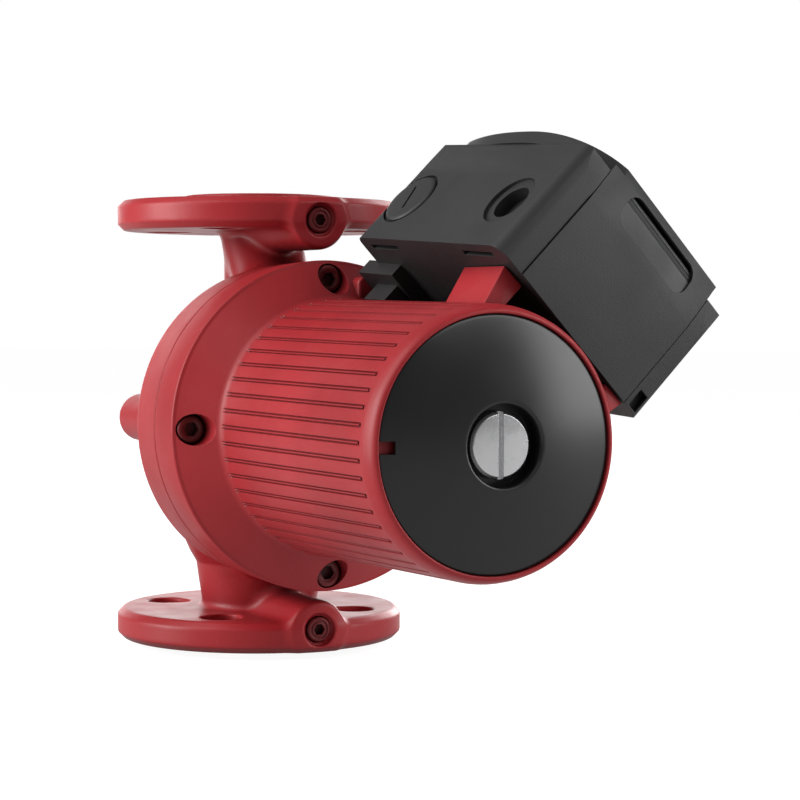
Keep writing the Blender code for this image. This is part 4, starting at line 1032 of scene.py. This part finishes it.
def inset_panel():
    """The shallow panel let into the raked front."""
    tilt = Matrix.Rotation(-RAKE - PANEL_TILT, 4, "Y")
    place = at(BOX_FRONT, 0, RAKE_START, tilt) @ UPRIGHT
    return prism(rounded_box(-28.5, 5, 20, 20.5, 6, 12), -0.1, 4, place)


def make_cover():
    plate_back = BOX_FRONT - BOX_WALL
    plate = block((plate_back, COVER_LEFT, BOX_FLOOR), (BOX_FRONT, COVER_RIGHT, BOX_RIM + 4))
    hollow = prism(lid_outline(LID_WALL + 1.2), BOX_RIM - 1, LID_TOP - LID_WALL)
    behind_plate = block((-60, COVER_LEFT - 30, BOX_FLOOR - 1), (plate_back, COVER_RIGHT + 30, BOX_RIM + GAP))
    shell = joined(prism(lid_outline(), BOX_RIM + GAP, LID_TOP), cut=(hollow,))
    add = [plate]
    add += [cylinder(COVER_POST_R, BOX_RIM + GAP, LID_TOP - 1, 32, at(x, y, 0)) for x, y in COVER_SCREWS]
    cut = [raked_front(-80, 60, LID_TOP + 1), inset_panel(), behind_plate]
    for x, y in COVER_SCREWS:
        sizes = [(COVER_SCREW_R, LID_TOP - 3.2), (COVER_HEAD_R, LID_TOP + 1)]
        cut.append(stepped(sizes, BOX_RIM - 1, 48, at(x, y, 0)))
    piece("box_cover", "terminal_box_cover", BLACK, shell, add, cut, BOX_FRAME, smooth=30)


def make_blanking_plug():
    profile = [(0, -4.6), (PLUG_SHANK_R, -4.6), (PLUG_SHANK_R, -1.2), (PLUG_HEAD_R, -1.2)]
    profile += [(PLUG_HEAD_R, -0.2), (PLUG_HEAD_R - 0.5, 0.4), (PLUG_HEAD_R - 1.6, 0.7), (8, 0.86), (0, 0.9)]
    plug = turned(eased(profile, 0.4, 2), 128)
    slot = block((-0.7, -7.3, -0.6), (0.7, 7.3, 2), Matrix.Rotation(radians(20), 4, "Z"))
    place = BOX_FRAME @ wall_frame(PLUG_ENTRY)
    piece("entry_plug", "blanking_plug", BLACK, plug, cut=[slot], place=place, smooth=30)


# ---- CAD nodes that stay

FINISH_OF_SLOT = {
    "red_paint": CAST_RED,
    "dark_red_paint": BOLT_RED,
    "steel": STEEL,
    "aluminium": ALUMINIUM,
    "carbon": CARBON,
    "copper": COPPER,
    "rubber": RUBBER,
    "black_plastic": BLACK,
    "white_plastic": WHITE_PLASTIC,
    "red_plastic": RED_PLASTIC,
    "gloss_black": DISC_BLACK,
}


def dress_kept_nodes():
    for name, node in frame["nodes"].items():
        node.data.materials.clear()
        node.data.materials.append(FINISH_OF_SLOT[SLOT_OF[name]])


# ---- studio


FLOOR_SEEN, FLOOR_LIGHT = 0.93, 0.4
ROOM_SEEN, ROOM_LIGHT = 1.0, 0.22
FLOOR_R, FLOOR_THICK = 8000, 9
STUDIO_CENTRE = (0.0, -0.1, 0.12)
LIGHTS = (  # name, place and size in metres, power in watts
    ("key_left", (-1.7, 0.4, 0.45), (0.9, 1.3), 40),
    ("top", (-1.0, 0.0, 1.3), (1.2, 0.9), 10),
    ("panel_right", (1.41, -0.99, 0.69), (0.9, 1.2), 16),
    ("panel_front", (0.63, -1.33, 1.25), (1.1, 0.4), 5),
    ("rim_right", (1.3, 0.9, 0.7), (0.5, 1.2), 12),
    ("backdrop", (1.0, 1.95, 0.35), (3.0, 1.2), 30),
)
CAMERA_PLACE = (-0.454276, -1.036571, 0.164841)
CAMERA_FORWARD, CAMERA_RIGHT = (0.45664, 0.88875, -0.04001), (0.88946, -0.45701, 0.0)
CAMERA_ROLL, CAMERA_LENS = radians(0.241), 102.43


def seen_or_lit(tree, socket, seen, lit):
    """One strength for what is looked at directly, and another for the light it gives the object."""
    strength = tree.nodes.new("ShaderNodeMapRange")
    strength.inputs["To Min"].default_value = lit
    strength.inputs["To Max"].default_value = seen
    tree.links.new(tree.nodes.new("ShaderNodeLightPath").outputs["Is Camera Ray"], strength.inputs["Value"])
    tree.links.new(strength.outputs["Result"], socket)


def make_stage():
    """A wide pale floor that glows a little, as a lit studio table does."""
    floor = new_object("floor", cylinder(FLOOR_R, -FLOOR_THICK, -0.5, 96))
    made = Nodes("pale_floor")
    base = made.mix(made.patches(2.5, 4, (0.3, 0), (0.7, 1)), (0.16,) * 3, (0.2,) * 3)
    made.bump([(made.noise(300, 3), 0.05)])
    made.set(Base_Color=base, Roughness=0.8, Emission_Color=(1.0, 1.0, 1.0))
    seen_or_lit(made.tree, made.shader.inputs["Emission Strength"], FLOOR_SEEN, FLOOR_LIGHT)
    floor.data.materials.append(made.material)


def make_light():
    for name, place, size, power in LIGHTS:
        light = bpy.data.lights.new(name, "AREA")
        light.shape, light.energy = "RECTANGLE", power
        light.size, light.size_y = size
        made = placed(name, light)
        made.location = place
        made.rotation_mode = "QUATERNION"
        made.rotation_quaternion = (Vector(place) - Vector(STUDIO_CENTRE)).to_track_quat("Z", "Y")
    world = bpy.data.worlds.new("studio")
    world.use_nodes = True
    background = world.node_tree.nodes["Background"]
    background.inputs["Color"].default_value = (1.0, 1.0, 1.0, 1)
    seen_or_lit(world.node_tree, background.inputs["Strength"], ROOM_SEEN, ROOM_LIGHT)
    bpy.context.scene.world = world


def make_camera():
    """The photo's view: left of the motor's axis and a little above it."""
    data = bpy.data.cameras.new("camera")
    data.sensor_width = 36
    data.lens = CAMERA_LENS
    data.clip_start, data.clip_end = 0.05, 20
    camera = placed("camera", data)
    camera.rotation_mode = "QUATERNION"
    forward, right = Vector(CAMERA_FORWARD), Vector(CAMERA_RIGHT)
    up = right.cross(forward)
    c, s = cos(CAMERA_ROLL), sin(CAMERA_ROLL)
    right, up = right * c + up * s, up * c - right * s
    camera.rotation_quaternion = Matrix((right, up, -forward)).transposed().to_quaternion()
    camera.location = CAMERA_PLACE
    bpy.context.scene.camera = camera


make_camera()
make_stage()
make_light()
bpy.context.scene.view_settings.view_transform = "Standard"
dress_kept_nodes()
make_pump_housing()
make_motor()
make_bolts()
make_gauge_plugs()
make_front()
make_box_base()
make_cover()
make_blanking_plug()
